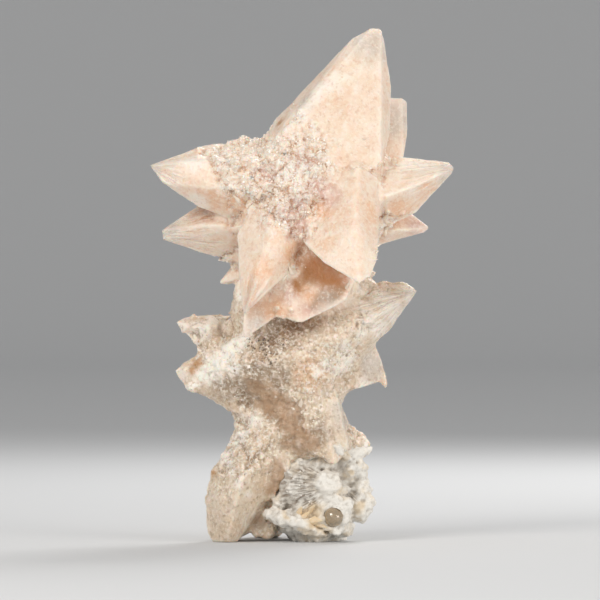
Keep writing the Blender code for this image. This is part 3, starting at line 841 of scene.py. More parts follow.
def add(tree, kind, inputs=(), **settings):
    """Adds a node with its settings. Inputs are values or what they are linked from, by name or order."""
    node = tree.nodes.new(kind)
    for name, value in settings.items():
        setattr(node, name, value)
    for key, value in inputs.items() if isinstance(inputs, dict) else enumerate(inputs):
        shown = [socket for socket in node.inputs if socket.enabled]
        target = shown[key] if isinstance(key, int) else next(s for s in shown if s.name == key)
        if isinstance(value, bpy.types.Node):
            value = next(s for s in value.outputs if s.enabled)
        if isinstance(value, bpy.types.NodeSocket):
            tree.links.new(value, target)
        else:
            target.default_value = value
    return node


def new_material(name):
    """A material with nothing in it yet, and its node tree."""
    material = bpy.data.materials.new(name)
    material.use_nodes = True
    material.node_tree.nodes.clear()
    return material, material.node_tree


def layered(tree, colour, layers):
    """Lays colours over a first one. A layer is masks and shares, which are multiplied, and its colour."""
    for *factors, over in layers:
        share = factors[0]
        for factor in factors[1:]:
            share = add(tree, MATH, (share, factor), operation="MULTIPLY", use_clamp=True)
        colour = add(tree, "ShaderNodeMix", {"Factor": share, "A": colour, "B": over}, data_type="RGBA")
    return colour


def frosted_calcite(look):
    """Frosted milky calcite: light goes a little way in, so faces glow and hollows turn warm, helped by
    painted shade.
    """
    material, tree = new_material("frosted_calcite")
    place = add(tree, "ShaderNodeTexCoord").outputs["Object"]
    names = ("old", "sugar", "ridge", "hollow_shade", "relief", "line_mask", *SPOTS, *TINTS)
    masks = {name: add(tree, MASK, attribute_name=name).outputs["Fac"] for name in names}
    lines = add(tree, MASK, attribute_name="lines").outputs["Vector"]
    broad, mottle, fine, dark = (
        add(tree, NOISE, {"Vector": place, "Scale": per_mm(size), "Detail": detail, "Roughness": 0.6})
        for size, detail in ((4.2, 3.0), (1.0, 3.0), (0.30, 2.0), (0.42, 2.0))
    )
    streak = add(tree, NOISE, {"Vector": lines, "Scale": 2.4, "Detail": 3.0, "Roughness": 0.6})
    fleck = add(tree, "ShaderNodeTexVoronoi", {"Vector": place, "Scale": per_mm(0.34)}).outputs["Distance"]
    even = add(tree, MATH, (masks["old"], masks["rugged"]), operation="SUBTRACT", use_clamp=True)

    wide = add(tree, RANGE, (broad, 0.36, 0.64))
    small = add(tree, RANGE, (mottle, 0.38, 0.66))
    dust = add(tree, RANGE, (fine, 0.48, 0.66))
    worn = add(tree, RANGE, (fine, 0.28, 0.48))
    pit = add(tree, RANGE, (dark, 0.46, 0.30))
    dot = add(tree, RANGE, (fleck, 0.40, 0.22))
    raised = add(tree, RANGE, (masks["relief"], 0.15, 0.9))
    dip_shade = add(tree, RANGE, (masks["relief"], -0.15, -0.9))
    calm = add(tree, RANGE, (even, 0.0, 1.0, 1.0, 0.6))
    # Where deep shade is painted, frost specks and crest highlight mostly give way.
    bare = add(tree, RANGE, (masks["deep"], 0.0, 1.0, 1.0, 0.1))
    polish = add(tree, RANGE, (mottle, 0.3, 0.7, 0.3, 0.5))
    shown = add(tree, RANGE, (streak, 0.40, 0.62))
    line = add(tree, MATH, (masks["line_mask"], shown), operation="MULTIPLY", use_clamp=True)

    young = layered(tree, look.peach, ((wide, 0.8, look.cream), (small, 0.4, look.frost_and_highlight)))
    aged = layered(tree, look.beige, ((wide, 0.6, look.bone), (small, 0.3, look.bone)))
    body = layered(tree, young, ((masks["old"], aged),))
    # The colour of the painted shade: tan on the young crystals, brown on the old ones.
    recess_shade = layered(tree, look.tan, ((masks["old"], look.brown),))
    caramel = layered(tree, look.caramel, ((masks["old"], 0.6, look.brown),))
    colour = layered(tree, body, (
        (masks["rose"], 0.7, look.rose),
        (masks["grey"], 0.8, look.grey),
        # Painted shade: warmer on faces turned from the light.
        (masks["warm_shade"], calm, 0.7, look.warm_shade),
        # Painted shade: caramel and brown in the deepest shade.
        (masks["deep"], calm, caramel),
        # Partly a dusty tint, partly painted shade.
        (masks["dust"], 0.7, look.smoke_and_shade),
        # Partly paler frost, partly painted highlight.
        (masks["pale_and_highlight"], 0.75, look.frost_and_highlight),
        # Painted shade in hollows and in small dips.
        (masks["hollow_shade"], 0.65, recess_shade),
        (dip_shade, calm, 0.6, recess_shade),
        (pit, 0.32, recess_shade),
        (pit, masks["old"], 0.3, look.brown),
        # Painted highlight: crests are lighter.
        (raised, calm, bare, 0.5, look.frost_and_highlight),
        (masks["sugar"], dust, bare, 0.7, look.frost_and_highlight),
        (line, 0.5, look.frost_and_highlight),
        # Painted highlight along the ridges.
        (masks["ridge"], 0.2, look.frost_and_highlight),
        (dust, bare, 0.4, look.frost_and_highlight),
        (masks["stain"], 0.8, look.stain),
        (masks["chalk"], worn, look.chalk),
        (masks["speckle"], dot, 0.9, look.speck),
    ))
    dull = add(tree, "ShaderNodeMix", {"Factor": masks["chalk"], "A": polish, "B": 0.9}, data_type="FLOAT")
    height = add(tree, MATH, (fine, line), operation="ADD")
    shader = add(tree, PRINCIPLED, {
        "Base Color": colour,
        "Roughness": dull,
        "IOR": 1.58,
        "Subsurface Weight": 0.7,
        "Subsurface Radius": (1.0, 0.62, 0.42),
        "Subsurface Scale": 0.5 * MM,
        "Normal": add(tree, "ShaderNodeBump", {"Strength": 0.8, "Distance": 0.12 * MM, "Height": height}),
    })
    add(tree, "ShaderNodeOutputMaterial", {"Surface": shader})
    return material


def sugar_calcite(look):
    """Small glassy grains of calcite: each has a shade of its own and faces that catch the light."""
    material, tree = new_material("sugar_calcite")
    names = (
        "old", "shade", "hollow_shade", "matrix", "rose", "warm_shade", "deep", "dust", "stain", "chalk", "speckle",
    )
    masks = {name: add(tree, MASK, attribute_name=name).outputs["Fac"] for name in names}
    young = layered(tree, look.cream, ((masks["shade"], look.snow_and_highlight),))
    aged = layered(tree, look.beige, ((masks["shade"], look.frost_and_highlight),))
    body = layered(tree, young, ((masks["old"], aged),))
    deep = layered(tree, look.peach, ((masks["old"], look.brown),))
    dusty = layered(tree, look.matrix_grey, ((masks["shade"], look.snow_and_highlight),))
    dark = add(tree, RANGE, (masks["shade"], 0.46, 0.34))
    colour = layered(tree, body, (
        (masks["rose"], 0.35, look.rose),
        # Painted shade on the grains: warmer on shaded faces, darker in deep shade and hollows, and partly
        # greyer in the dust spots.
        (masks["warm_shade"], 0.5, look.peach),
        (masks["deep"], 0.5, deep),
        (masks["dust"], 0.5, dusty),
        (masks["hollow_shade"], 0.6, deep),
        (masks["matrix"], dusty),
        (masks["stain"], 0.8, look.stain),
        (masks["chalk"], look.chalk),
        (masks["speckle"], dark, look.speck),
    ))
    shader = add(tree, PRINCIPLED, {"Base Color": colour, "Roughness": 0.22, "IOR": 1.6})
    add(tree, "ShaderNodeOutputMaterial", {"Surface": shader})
    return material


def pearly_calcite(look, name, colour, clear):
    """Single calcite crystals big enough to see into: glossy, and clear by the share given."""
    material, tree = new_material(name)
    place = add(tree, "ShaderNodeTexCoord").outputs["Object"]
    clouded = add(tree, NOISE, {"Vector": place, "Scale": per_mm(0.5), "Detail": 3.0, "Roughness": 0.6})
    cloudy = add(tree, RANGE, (clouded, 0.4, 0.65))
    shader = add(tree, PRINCIPLED, {
        "Base Color": layered(tree, colour, ((cloudy, 0.5, look.frost_and_highlight),)),
        "Roughness": 0.25,
        "IOR": 1.6,
        "Transmission Weight": clear,
        "Subsurface Weight": 0.5,
        "Subsurface Radius": (1.0, 0.9, 0.8),
        "Subsurface Scale": 0.2 * MM,
    })
    add(tree, "ShaderNodeOutputMaterial", {"Surface": shader})
    return material


def clear_mineral(look):
    """A drop of clear glassy mineral: it darkens at its rim and has small sharp highlights."""
    material, tree = new_material("clear_bead")
    shader = add(tree, PRINCIPLED, {
        "Base Color": look.bead,
        "Roughness": 0.03,
        "IOR": 1.6,
        "Transmission Weight": 0.75,
        "Coat Weight": 1.0,
        "Coat IOR": 1.8,
    })
    add(tree, "ShaderNodeOutputMaterial", {"Surface": shader})
    return material


def chalky_matrix(look):
    """Dull white chalk with dusty grey patches and tan stains, painted shade in hollows and dips, painted
    highlight on crests: no shine.
    """
    material, tree = new_material("chalky_matrix")
    place = add(tree, "ShaderNodeTexCoord").outputs["Object"]
    names = ("hollow_shade", "relief", *MATRIX_SPOTS)
    masks = {name: add(tree, MASK, attribute_name=name).outputs["Fac"] for name in names}
    fibres = add(tree, MASK, attribute_name="fibres").outputs["Vector"]
    fine = add(tree, NOISE, {"Vector": place, "Scale": per_mm(0.35), "Detail": 3.0, "Roughness": 0.65})
    patch = add(tree, NOISE, {"Vector": place, "Scale": per_mm(2.0), "Detail": 4.0, "Roughness": 0.6})
    threads = add(tree, NOISE, {"Vector": fibres, "Scale": 3.4, "Detail": 3.0})

    shown = add(tree, RANGE, (threads, 0.46, 0.60))
    ray = add(tree, MATH, (masks["fibrous"], shown), operation="MULTIPLY", use_clamp=True)
    tanned = add(tree, RANGE, (patch, 0.50, 0.64))
    dusty = add(tree, RANGE, (fine, 0.48, 0.66))
    raised = add(tree, RANGE, (masks["relief"], 0.1, 0.8))
    dip_shade = add(tree, RANGE, (masks["relief"], -0.1, -0.8))
    colour = layered(tree, look.matrix_white, (
        (tanned, 0.6, look.matrix_tan),
        (masks["rough"], 0.4, look.matrix_grey),
        (dusty, 0.4, look.matrix_grey),
        (ray, 0.7, look.umber_and_shade),
        (masks["smooth"], 0.9, look.matrix_white),
        (masks["stain"], 0.7, look.matrix_tan),
        # Painted shade in hollows and dips, and painted highlight on crests.
        (masks["hollow_shade"], 0.8, look.umber_and_shade),
        (dip_shade, 0.8, look.umber_and_shade),
        (raised, 0.6, look.snow_and_highlight),
    ))
    height = add(tree, MATH, (fine, ray), operation="SUBTRACT")
    shader = add(tree, PRINCIPLED, {
        "Base Color": colour,
        "Roughness": 0.92,
        "Specular IOR Level": 0.2,
        "Normal": add(tree, "ShaderNodeBump", {"Strength": 0.8, "Distance": 0.15 * MM, "Height": height}),
    })
    add(tree, "ShaderNodeOutputMaterial", {"Surface": shader})
    return material


def seamless_paper(colour):
    """Matt card of one colour: it takes soft shadows and gives no shine."""
    material, tree = new_material("seamless_paper")
    shader = add(tree, PRINCIPLED, {"Base Color": colour, "Roughness": 0.95, "Specular IOR Level": 0.1})
    add(tree, "ShaderNodeOutputMaterial", {"Surface": shader})
    return material


def finish_piece(piece, slot, material):
    """Gives a piece its material and its body; slot is not used."""
    piece.data.materials.clear()
    piece.data.materials.append(material)
    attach(piece, "root")


def crystal_form(solid, sizes):
    """One fine mesh of the solid with its worn and added forms, back on the solid's flat faces."""
    worn = [
        worn_form(solid, sizes.worn_step, sizes.star_filling),
        worn_form(solid, sizes.worn_step, sizes.stalk_filling, STALK_TOP),
    ]
    added = [round_lump(*lump) for lump in WORN_LUMPS] + [shard(corners) for corners in SHARDS]
    piece = joined([copied(solid, "calcite_crystals"), *worn, *added], "calcite_crystals")
    shape_with(piece, "REMESH", mode="VOXEL", voxel_size=sizes.mesh_step * 1.0)
    weigh(piece, "crisp", 1.0 - step(0.05, 0.2, gaps(points_of(piece), tree_of(solid))))
    shape_with(piece, "SHRINKWRAP", target=solid, wrap_method="NEAREST_SURFACEPOINT", vertex_group="crisp")
    return piece


def weigh_crystals(piece, solid):
    """The vertex groups that limit each way of wearing, and that spare tips and clean faces most."""
    masks = crystal_masks(piece, solid)
    points = points_of(piece)
    tips = to_spots(points, [(start, TIP_REACH) for start, _, _ in CLEAN_FACES])
    worn = masks["old"] * (1.0 - 0.6 * masks["clean"])
    crust = np.maximum(masks["sugar"] * (1.0 - 0.65 * masks["old"]), 0.8 * masks["rugged"])
    lines = clouds(masks["lines"], 0.42, 7) * masks["line_mask"]
    weigh(piece, "soft", (0.10 + 0.8 * worn) * (1.0 - 0.9 * tips))
    weigh(piece, "rounded", to_spots(points, on_surface(tree_of(solid), ROUNDED_RIDGES)) * (1.0 - tips))
    weigh(piece, "crust", crust * (1.0 - 0.8 * tips))
    weigh(piece, "weathered", masks["old"] * (1.0 - 0.8 * masks["clean"]) * (1.0 - tips))
    weigh(piece, "faces", 1.0 - tips)
    weigh(piece, "lines", np.clip(lines + 0.3, 0.0, 1.0) * (1.0 - tips))


def wear_crystals(piece, sizes):
    """Smooths all of the crystals a little, and wears and crusts them as their vertex groups say."""
    shape_with(piece, "SMOOTH", factor=0.5, iterations=24, vertex_group="soft")
    shape_with(piece, "SMOOTH", factor=0.5, iterations=90, vertex_group="rounded")
    shape_with(piece, "SMOOTH", factor=0.5, iterations=1)
    wave = pattern("face waves", "CLOUDS", 2.6, noise_depth=1)
    lump = pattern("crust lumps", "VORONOI", 1.2, distance_metric="MANHATTAN")
    pebble = pattern("crust pebbles", "VORONOI", 0.55, distance_metric="CHEBYCHEV")
    plate = pattern("weathered plates", "VORONOI", 2.8, weight_1=-1.0, weight_2=1.0)
    scab = pattern("weathered scabs", "CLOUDS", 1.6, noise_depth=3, noise_type="HARD_NOISE")
    displaced(piece, wave, 2.0 * sizes.face_relief, "faces")
    displaced(piece, lump, -2.4 * sizes.crust_relief, "crust", 0.4)
    displaced(piece, pebble, -1.2 * sizes.crust_relief, "crust", 0.4)
    displaced(piece, plate, 1.6 * sizes.crust_relief, "weathered", 0.25)
    displaced(piece, scab, 1.3 * sizes.crust_relief, "weathered", 0.4)
    shape_with(piece, "DISPLACE", strength=1.4 * sizes.face_relief, mid_level=0.0, vertex_group="lines")
    piece.vertex_groups.clear()


class CALCITE_OT_crystals(bpy.types.Operator):
    """Models the crystals' fine surface on the form of their solid"""

    bl_idname = "calcite.crystals"
    bl_label = "Calcite crystals"

    def execute(self, context):
        sizes = context.scene.calcite_sizes
        solid = merged_copy("calcite_cluster", "solid")
        piece = crystal_form(solid, sizes)
        weigh_crystals(piece, solid)
        wear_crystals(piece, sizes)
        triangles = 2 * len(piece.data.polygons)
        if triangles > MOST_TRIANGLES:
            shape_with(piece, "DECIMATE", ratio=MOST_TRIANGLES / triangles)
        flatten_base(piece)
        for name, values in crystal_masks(piece, solid).items():
            store(piece, name, values)
        store(piece, "hollow_shade", hollow_of(piece, CRYSTAL_HOLLOW))
        store(piece, "relief", relief_of(piece, *CRYSTAL_CREST))
        only(piece)
        bpy.ops.object.shade_smooth()
        remove(solid)
        finish_piece(piece, "peach_calcite", frosted_calcite(context.scene.calcite_colours))
        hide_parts("calcite_cluster")
        return {"FINISHED"}


def tooth_grain(name, size, half_width, lean=0.0):
    """A small scalenohedron on the origin: a six-sided cone whose girdle zigzags, leaning a little."""
    grain = primitive(bpy.ops.mesh.primitive_cone_add, name, vertices=6, radius1=half_width, depth=size)
    for vert in grain.data.vertices:
        if vert.co.z > 0.0:
            vert.co.x += lean * size
            continue
        turn = round(math.atan2(vert.co.y, vert.co.x) / (math.pi / 3))
        vert.co.z += 0.13 * size * (1 if turn % 2 else -1)
    return grain


def block_grain(name, width, stretch):
    """A small rhomb on the origin: a cube stood on its corner and drawn out."""
    grain = primitive(bpy.ops.mesh.primitive_cube_add, name, size=width)
    upright = Vector((1, 1, 1)).rotation_difference(Vector((0, 0, 1))).to_matrix().to_4x4()
    grain.data.transform(Matrix.Diagonal((1, 1, stretch, 1)) @ upright)
    return grain


def shelf_of(name, grains):
    """A collection of its own for the grains that a crust is made of."""
    shelf = bpy.data.collections.new(name)
    bpy.context.scene.collection.children.link(shelf)
    for grain in grains:
        for home in list(grain.users_collection):
            home.objects.unlink(grain)
        shelf.objects.link(grain)
    return shelf


def scatter_tree(name, shelf, spacing, size, seed):
    """Geometry nodes that set grains where the mask called density says, and keep only the grains."""
    tree = bpy.data.node_groups.new(name, "GeometryNodeTree")
    for way in ("INPUT", "OUTPUT"):
        tree.interface.new_socket(name="Geometry", in_out=way, socket_type="NodeSocketGeometry")
    ground = add(tree, "NodeGroupInput").outputs[0]
    density = add(tree, "GeometryNodeInputNamedAttribute", {"Name": "density"}, data_type="FLOAT")
    points = add(tree, "GeometryNodeDistributePointsOnFaces", {
        "Mesh": ground, "Distance Min": spacing, "Density Max": 2.0 / spacing ** 2,
        "Density Factor": density, "Seed": seed,
    }, distribute_method="POISSON")
    lean = add(tree, "FunctionNodeRandomValue", {
        0: (-GRAIN_LEAN, -GRAIN_LEAN, -math.pi), 1: (GRAIN_LEAN, GRAIN_LEAN, math.pi), "Seed": seed + 1,
    }, data_type="FLOAT_VECTOR")
    turn = add(tree, "FunctionNodeEulerToRotation", (lean,))
    upright = points.outputs["Rotation"]
    rotation = add(tree, "FunctionNodeRotateRotation", (upright, turn), rotation_space="LOCAL")
    chance = add(tree, "FunctionNodeRandomValue", {0: 0.55, 1: 1.35, "Seed": seed + 2}, data_type="FLOAT")
    swell = add(tree, MATH, (density, 0.5, 0.6), operation="MULTIPLY_ADD")
    scale = add(tree, MATH, (chance, swell), operation="MULTIPLY")
    scale = add(tree, MATH, (scale, size), operation="MULTIPLY")
    models = add(tree, "GeometryNodeCollectionInfo", {
        "Collection": shelf, "Separate Children": True, "Reset Children": True,
    })
    pick = add(tree, "FunctionNodeRandomValue", {0: 0, 1: 3, "Seed": seed + 3}, data_type="INT")
    copies = add(tree, "GeometryNodeInstanceOnPoints", {
        "Points": points.outputs["Points"], "Instance": models, "Pick Instance": True,
        "Instance Index": pick, "Rotation": rotation, "Scale": scale,
    })
    shade = add(tree, "FunctionNodeRandomValue", {0: 0.0, 1: 1.0, "Seed": seed + 4}, data_type="FLOAT")
    shaded = add(tree, "GeometryNodeStoreNamedAttribute", {
        "Geometry": copies, "Name": "shade", "Value": shade,
    }, data_type="FLOAT", domain="INSTANCE")
    real = add(tree, "GeometryNodeRealizeInstances", {"Geometry": shaded})
    add(tree, "NodeGroupOutput", (real,))
    return tree


def grown(body, name, slot, material, shelf, density, spacing, size, seed):
    """A piece made of the grains that grow on a body, thickest where density is 1."""
    piece = copied(body, name)
    store(piece, "density", np.clip(density, 0.0, 1.0))
    shape_with(piece, "NODES", node_group=scatter_tree(name, shelf, spacing, size, seed))
    flatten_base(piece)
    finish_piece(piece, slot, material)


class CALCITE_OT_sugar(bpy.types.Operator):
    """Sets the sugar grains on the star, the stalk and the matrix, and the coarser grains among them"""

    bl_idname = "calcite.sugar"
    bl_label = "Sugar grains"

    def execute(self, context):
        sizes = context.scene.calcite_sizes
        body = bpy.data.objects["calcite_crystals"]
        matrix = bpy.data.objects["matrix_crust"]
        cone = bpy.ops.mesh.primitive_cone_add
        fine = shelf_of("fine_grains", [
            primitive(cone, "a_spike", vertices=3, radius1=0.30, depth=1.0),
            primitive(cone, "b_tooth", vertices=4, radius1=0.32, depth=1.0),
            primitive(cone, "c_stout_tooth", vertices=4, radius1=0.42, depth=0.7),
            block_grain("d_rhomb", 0.5, 1.2),
        ])
        coarse = shelf_of("coarse_grains", [
            tooth_grain("a_slim_tooth", 1.0, 0.26, 0.1),
            tooth_grain("b_stout_tooth", 0.8, 0.36, -0.15),
            block_grain("c_rhomb", 0.5, 1.25),
            block_grain("d_flat_rhomb", 0.55, 0.8),
        ])
        material = sugar_calcite(context.scene.calcite_colours)
        spacing = sizes.grain_spacing * 1.0
        small = (spacing, sizes.grain_size)
        large = (4.5 * spacing, 2.4 * sizes.grain_size)
        old, sugar, clean, deep = (read(body, name) for name in ("old", "sugar", "clean", "deep"))
        floor_gap = step(0.3, 1.0, points_of(body)[:, 2])
        dusting = 0.05 * (1.0 - clean) + 0.015
        star = (sugar + dusting) * (1.0 - old) * floor_gap
        stalk = (0.4 * sugar + 0.6 * dusting) * old * floor_gap * (1.0 - deep)
        tall = 0.6 * sugar ** 3 * (1.0 - 0.7 * old) * floor_gap
        rough = 0.5 * read(matrix, "rough")
        for name, ground, slot, shelf, density, (gap, size), seed in (
            ("star_sugar", body, "peach_calcite", fine, star, small, 10),
            ("stalk_sugar", body, "peach_calcite", fine, stalk, small, 30),
            ("druse", body, "peach_calcite", coarse, tall, large, 50),
            ("matrix_sugar", matrix, "chalky_matrix", fine, rough, small, 70),
        ):
            grown(ground, name, slot, material, shelf, density, gap, size, seed)
        for shelf in (fine, coarse):
            remove(*shelf.objects)
            bpy.data.collections.remove(shelf)
        return {"FINISHED"}


class CALCITE_OT_set_crystals(bpy.types.Operator):
    """Sets the single larger crystals where the best side shows them"""

    bl_idname = "calcite.set_crystals"
    bl_label = "Single small crystals"

    def execute(self, context):
        look = context.scene.calcite_colours
        tree = tree_of(bpy.data.objects["calcite_crystals"], bpy.data.objects["matrix_crust"])
        finishes = {
            "pearl": ("peach_calcite", pearly_calcite(look, "pearly_calcite", look.cream, 0.0)),
            "clear": ("peach_calcite", pearly_calcite(look, "glassy_calcite", look.cream, 0.15)),
            "honey": ("chalky_matrix", pearly_calcite(look, "honey_calcite", look.honey, 0.1)),
        }
        rng = random.Random(5)
        made = {kind: [] for kind in finishes}
        for (right, up), size, half_width, lean, kind in SET_CRYSTALS:
            point, normal = seen_at(tree, right, up)
            tilt = math.radians(lean)
            way = (Vector((math.sin(tilt), -0.35, math.cos(tilt))) + 0.5 * normal).normalized()
            grain = tooth_grain("grain", size, half_width, rng.uniform(-0.1, 0.1))
            roll = Matrix.Rotation(rng.uniform(0, 1), 4, "Z")
            turn = way.to_track_quat("Z", "Y").to_matrix().to_4x4() @ roll
            place = Matrix.Translation((point + way * size * 0.22) * MM)
            grain.data.transform(place @ turn @ Matrix.Scale(MM, 4))
            made[kind].append(grain)
        for kind, grains in made.items():
            piece = joined(grains, kind + "_crystals")
            finish_piece(piece, *finishes[kind])
        return {"FINISHED"}


def strand(tree, points):
    """A tube of changing width whose points lie on what the viewer sees."""
    curve = bpy.data.curves.new("strand", "CURVE")
    curve.dimensions = "3D"
    curve.bevel_depth = MM
    curve.bevel_resolution = 3
    curve.use_fill_caps = True
    line = curve.splines.new("POLY")
    line.points.add(len(points) - 1)
    for knot, (right, up, half_width) in zip(line.points, points):
        place = seen_at(tree, right, up)[0]
        knot.co = (*(place * MM), 1.0)
        knot.radius = half_width
    tube = bpy.data.objects.new("strand", curve)
    bpy.context.scene.collection.objects.link(tube)
    only(tube)
    bpy.ops.object.convert(target="MESH")
    return bpy.context.object


def matrix_form(solid, seen, step_length):
    """The solid with its lumps and plates, its white strands and the rim round the bead, as one mesh."""
    pieces = [copied(solid, "matrix_crust")]
    pieces += [round_lump(*lump) for lump in MATRIX_LUMPS]
    pieces += [strand(seen, points) for points in CHALK_STRANDS]
    rim = primitive(
        bpy.ops.mesh.primitive_torus_add, "rim", rotation=(math.pi / 2, 0.0, 0.0),
        location=(Vector(BEAD_PLACE) + Vector((0.0, 0.1, 0.0))) * MM,
        major_radius=1.3 * BEAD_RADIUS * MM, minor_radius=0.24 * MM,
    )
    place_in_mesh(rim)
    piece = joined([*pieces, rim], "matrix_crust")
    shape_with(piece, "REMESH", mode="VOXEL", voxel_size=step_length)
    shape_with(piece, "SMOOTH", factor=0.5, iterations=3)
    return piece


def wear_matrix(piece, sizes, step_length):
    """Gives the matrix its lobes, raised veins, crumbs and pits, and opens the socket of the bead."""
    lobes = pattern("matrix lobes", "CLOUDS", 1.5, noise_depth=2)
    veins = pattern("matrix veins", "VORONOI", 1.9, color_mode="INTENSITY", weight_1=-1.0, weight_2=1.0)
    crumbs = pattern("matrix crumbs", "VORONOI", 0.75, distance_metric="DISTANCE")
    pits = pattern("matrix pits", "CLOUDS", 0.6, noise_depth=2, noise_type="HARD_NOISE")
    displaced(piece, lobes, sizes.matrix_lobes)
    displaced(piece, veins, -sizes.matrix_veins, middle=0.2)
    displaced(piece, crumbs, -sizes.matrix_crumbs, middle=0.4)
    displaced(piece, pits, sizes.matrix_pits, middle=0.4)
    shape_with(piece, "REMESH", mode="VOXEL", voxel_size=step_length)
    for forward, depth in ((0.0, 1.0), (1.0, 1.6)):
        middle = Vector(BEAD_PLACE) - Vector((0.0, forward * BEAD_RADIUS, 0.0))
        hole = round_lump(middle, (BEAD_RADIUS, depth * BEAD_RADIUS, BEAD_RADIUS))
        shape_with(piece, "BOOLEAN", operation="DIFFERENCE", object=hole, solver="EXACT")
        remove(hole)
    flatten_base(piece)


def mark_matrix(piece, seen):
    """Keeps the masks that the matrix's material and its sugar read."""
    points = points_of(piece)
    ragged = points + 0.6 * clouds(points, 0.9, 31)[:, None]
    for name, spots in MATRIX_SPOTS.items():
        store(piece, name, to_spots(ragged, on_surface(seen, spots)))
    store(piece, "matrix", np.ones(len(points)))
    store(piece, "hollow_shade", hollow_of(piece, MATRIX_HOLLOW))
    store(piece, "relief", relief_of(piece, *MATRIX_CREST))
    way = points - np.array(VEIN_MIDDLE)
    turn, gap = np.arctan2(way[:, 2], way[:, 0]), np.linalg.norm(way, axis=1)
    store(piece, "fibres", np.stack((np.cos(turn) * 6.0, np.sin(turn) * 6.0, gap * 0.35), axis=1))
    floor_gap = step(0.3, 0.9, points[:, 2])
    rough = np.clip(read(piece, "rough"), 0.03, 1.0) * floor_gap * (1.0 - read(piece, "smooth"))
    store(piece, "rough", rough)


class CALCITE_OT_matrix(bpy.types.Operator):
    """Models the chalky matrix with its lumps, thin plates, white strands and the socket of the bead"""

    bl_idname = "calcite.matrix"
    bl_label = "Chalky matrix"

    def execute(self, context):
        sizes = context.scene.calcite_sizes
        solid = merged_copy("white_matrix", "solid")
        seen = tree_of(solid, bpy.data.objects["calcite_crystals"])
        step_length = sizes.matrix_step * 1.0
        piece = matrix_form(solid, seen, step_length)
        wear_matrix(piece, sizes, step_length)
        mark_matrix(piece, seen)
        only(piece)
        bpy.ops.object.shade_smooth()
        remove(solid)
        finish_piece(piece, "chalky_matrix", chalky_matrix(context.scene.calcite_colours))
        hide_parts("white_matrix")
        return {"FINISHED"}


class CALCITE_OT_bead(bpy.types.Operator):
    """Sets the clear bead in its socket"""

    bl_idname = "calcite.bead"
    bl_label = "Clear bead"

    def execute(self, context):
        bead = round_lump(BEAD_PLACE, (BEAD_RADIUS,) * 3)
        bead.name = "clear_bead"
        displaced(bead, pattern("bead dents", "CLOUDS", 1.1), context.scene.calcite_sizes.bead_dents)
        only(bead)
        bpy.ops.object.shade_smooth()
        finish_piece(bead, "chalky_matrix", clear_mineral(context.scene.calcite_colours))
        return {"FINISHED"}


def select_back_edge(paper, highest):
    """Selects the paper's edge that lies at its back and below a height, and stays in edit mode."""
    back = max(v.co.y for v in paper.data.vertices)
    bpy.ops.object.mode_set(mode="EDIT")
    bpy.ops.mesh.select_mode(type="EDGE")
    bpy.ops.mesh.select_all(action="DESELECT")
    bpy.ops.object.mode_set(mode="OBJECT")
    for edge in paper.data.edges:
        ends = [paper.data.vertices[i].co for i in edge.vertices]
        edge.select = all(end.y > back - 1e-6 and end.z < highest for end in ends)
    bpy.ops.object.mode_set(mode="EDIT")


def paper_sweep(colour):
    """Paper under the specimen that bends up into a wall behind it."""
    paper = primitive(bpy.ops.mesh.primitive_plane_add, "paper_sweep", size=1.0)
    paper.data.transform(Matrix.Translation((0.0, 0.3, 0.0)) @ Matrix.Diagonal((*PAPER, 1.0, 1.0)))
    select_back_edge(paper, 1.0)
    bpy.ops.mesh.extrude_region_move(TRANSFORM_OT_translate={"value": (0.0, 0.0, WALL_HEIGHT)})
    bpy.ops.object.mode_set(mode="OBJECT")
    select_back_edge(paper, 1e-6)
    bpy.ops.mesh.bevel(offset=BEND_RADIUS, segments=24, affect="EDGES")
    bpy.ops.object.mode_set(mode="OBJECT")
    bpy.ops.object.shade_smooth()
    paper.data.materials.append(seamless_paper(colour))


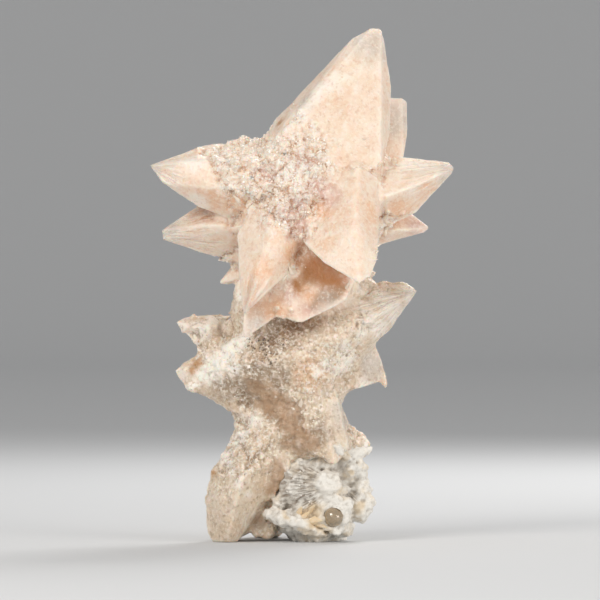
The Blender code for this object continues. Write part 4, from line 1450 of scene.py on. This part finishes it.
class CALCITE_OT_studio(bpy.types.Operator):
    """Sets the seamless paper, the soft lights and the camera"""

    bl_idname = "calcite.studio"
    bl_label = "Studio"

    def execute(self, context):
        studio = context.scene.calcite_studio
        paper_sweep(studio.paper)
        world = bpy.data.worlds.new("studio_air")
        context.scene.world = world
        world.use_nodes = True
        air = world.node_tree.nodes["Background"]
        air.inputs["Color"].default_value = (1.0, 0.98, 0.96, 1.0)
        air.inputs["Strength"].default_value = AIR_STRENGTH

        for name, place, size, power, colour in (
            ("key_light", (-0.17, -0.25, 0.20), 0.16, studio.key, (1.0, 0.965, 0.92)),
            ("fill_light", (0.26, -0.22, 0.06), 0.22, studio.fill, (1.0, 0.96, 0.91)),
            ("rim_light", (0.10, 0.20, 0.20), 0.12, studio.rim, (1.0, 0.98, 0.96)),
        ):
            bpy.ops.object.light_add(type="AREA", location=place)
            light = context.object
            light.name = name
            light.data.size = size
            light.data.energy = power
            light.data.color = colour
            aim = Vector(LIGHT_AIM) - Vector(place)
            light.rotation_euler = aim.to_track_quat("-Z", "Y").to_euler()

        place = (-0.0002, -CAMERA_DISTANCE, 0.024)
        bpy.ops.object.camera_add(location=place, rotation=(math.pi / 2, 0.0, 0.0))
        camera = context.object
        camera.name = "camera"
        camera.data.sensor_width = 36.0
        camera.data.lens = camera.data.sensor_width * CAMERA_DISTANCE / PICTURE_WIDTH
        camera.data.clip_start = 0.01
        camera.data.clip_end = 10.0
        context.scene.camera = camera
        context.scene.view_settings.view_transform = "Standard"
        return {"FINISHED"}


OPERATORS = (
    CALCITE_OT_crystals,
    CALCITE_OT_matrix,
    CALCITE_OT_sugar,
    CALCITE_OT_bead,
    CALCITE_OT_set_crystals,
    CALCITE_OT_studio,
)


class CALCITE_PT_panel(bpy.types.Panel):
    """Lists the pieces of the specimen and of the studio"""

    bl_idname = "CALCITE_PT_panel"
    bl_label = "Calcite cluster"
    bl_space_type = "VIEW_3D"
    bl_region_type = "UI"
    bl_category = "Calcite"

    def draw(self, context):
        for operator in OPERATORS:
            self.layout.operator(operator.bl_idname)


CLASSES = (CalciteSizes, CalciteColours, CalciteStudio, *OPERATORS, CALCITE_PT_panel)
SETTINGS = {
    "calcite_sizes": CalciteSizes,
    "calcite_colours": CalciteColours,
    "calcite_studio": CalciteStudio,
}


def register():
    for kind in CLASSES:
        bpy.utils.register_class(kind)
    for name, group in SETTINGS.items():
        setattr(bpy.types.Scene, name, bpy.props.PointerProperty(type=group))


def unregister():
    for name in SETTINGS:
        delattr(bpy.types.Scene, name)
    for kind in reversed(CLASSES):
        bpy.utils.unregister_class(kind)


def main():
    register()
    bpy.ops.calcite.crystals()
    bpy.ops.calcite.matrix()
    bpy.ops.calcite.sugar()
    bpy.ops.calcite.bead()
    bpy.ops.calcite.set_crystals()
    bpy.ops.calcite.studio()


if __name__ == "__main__":
    main()
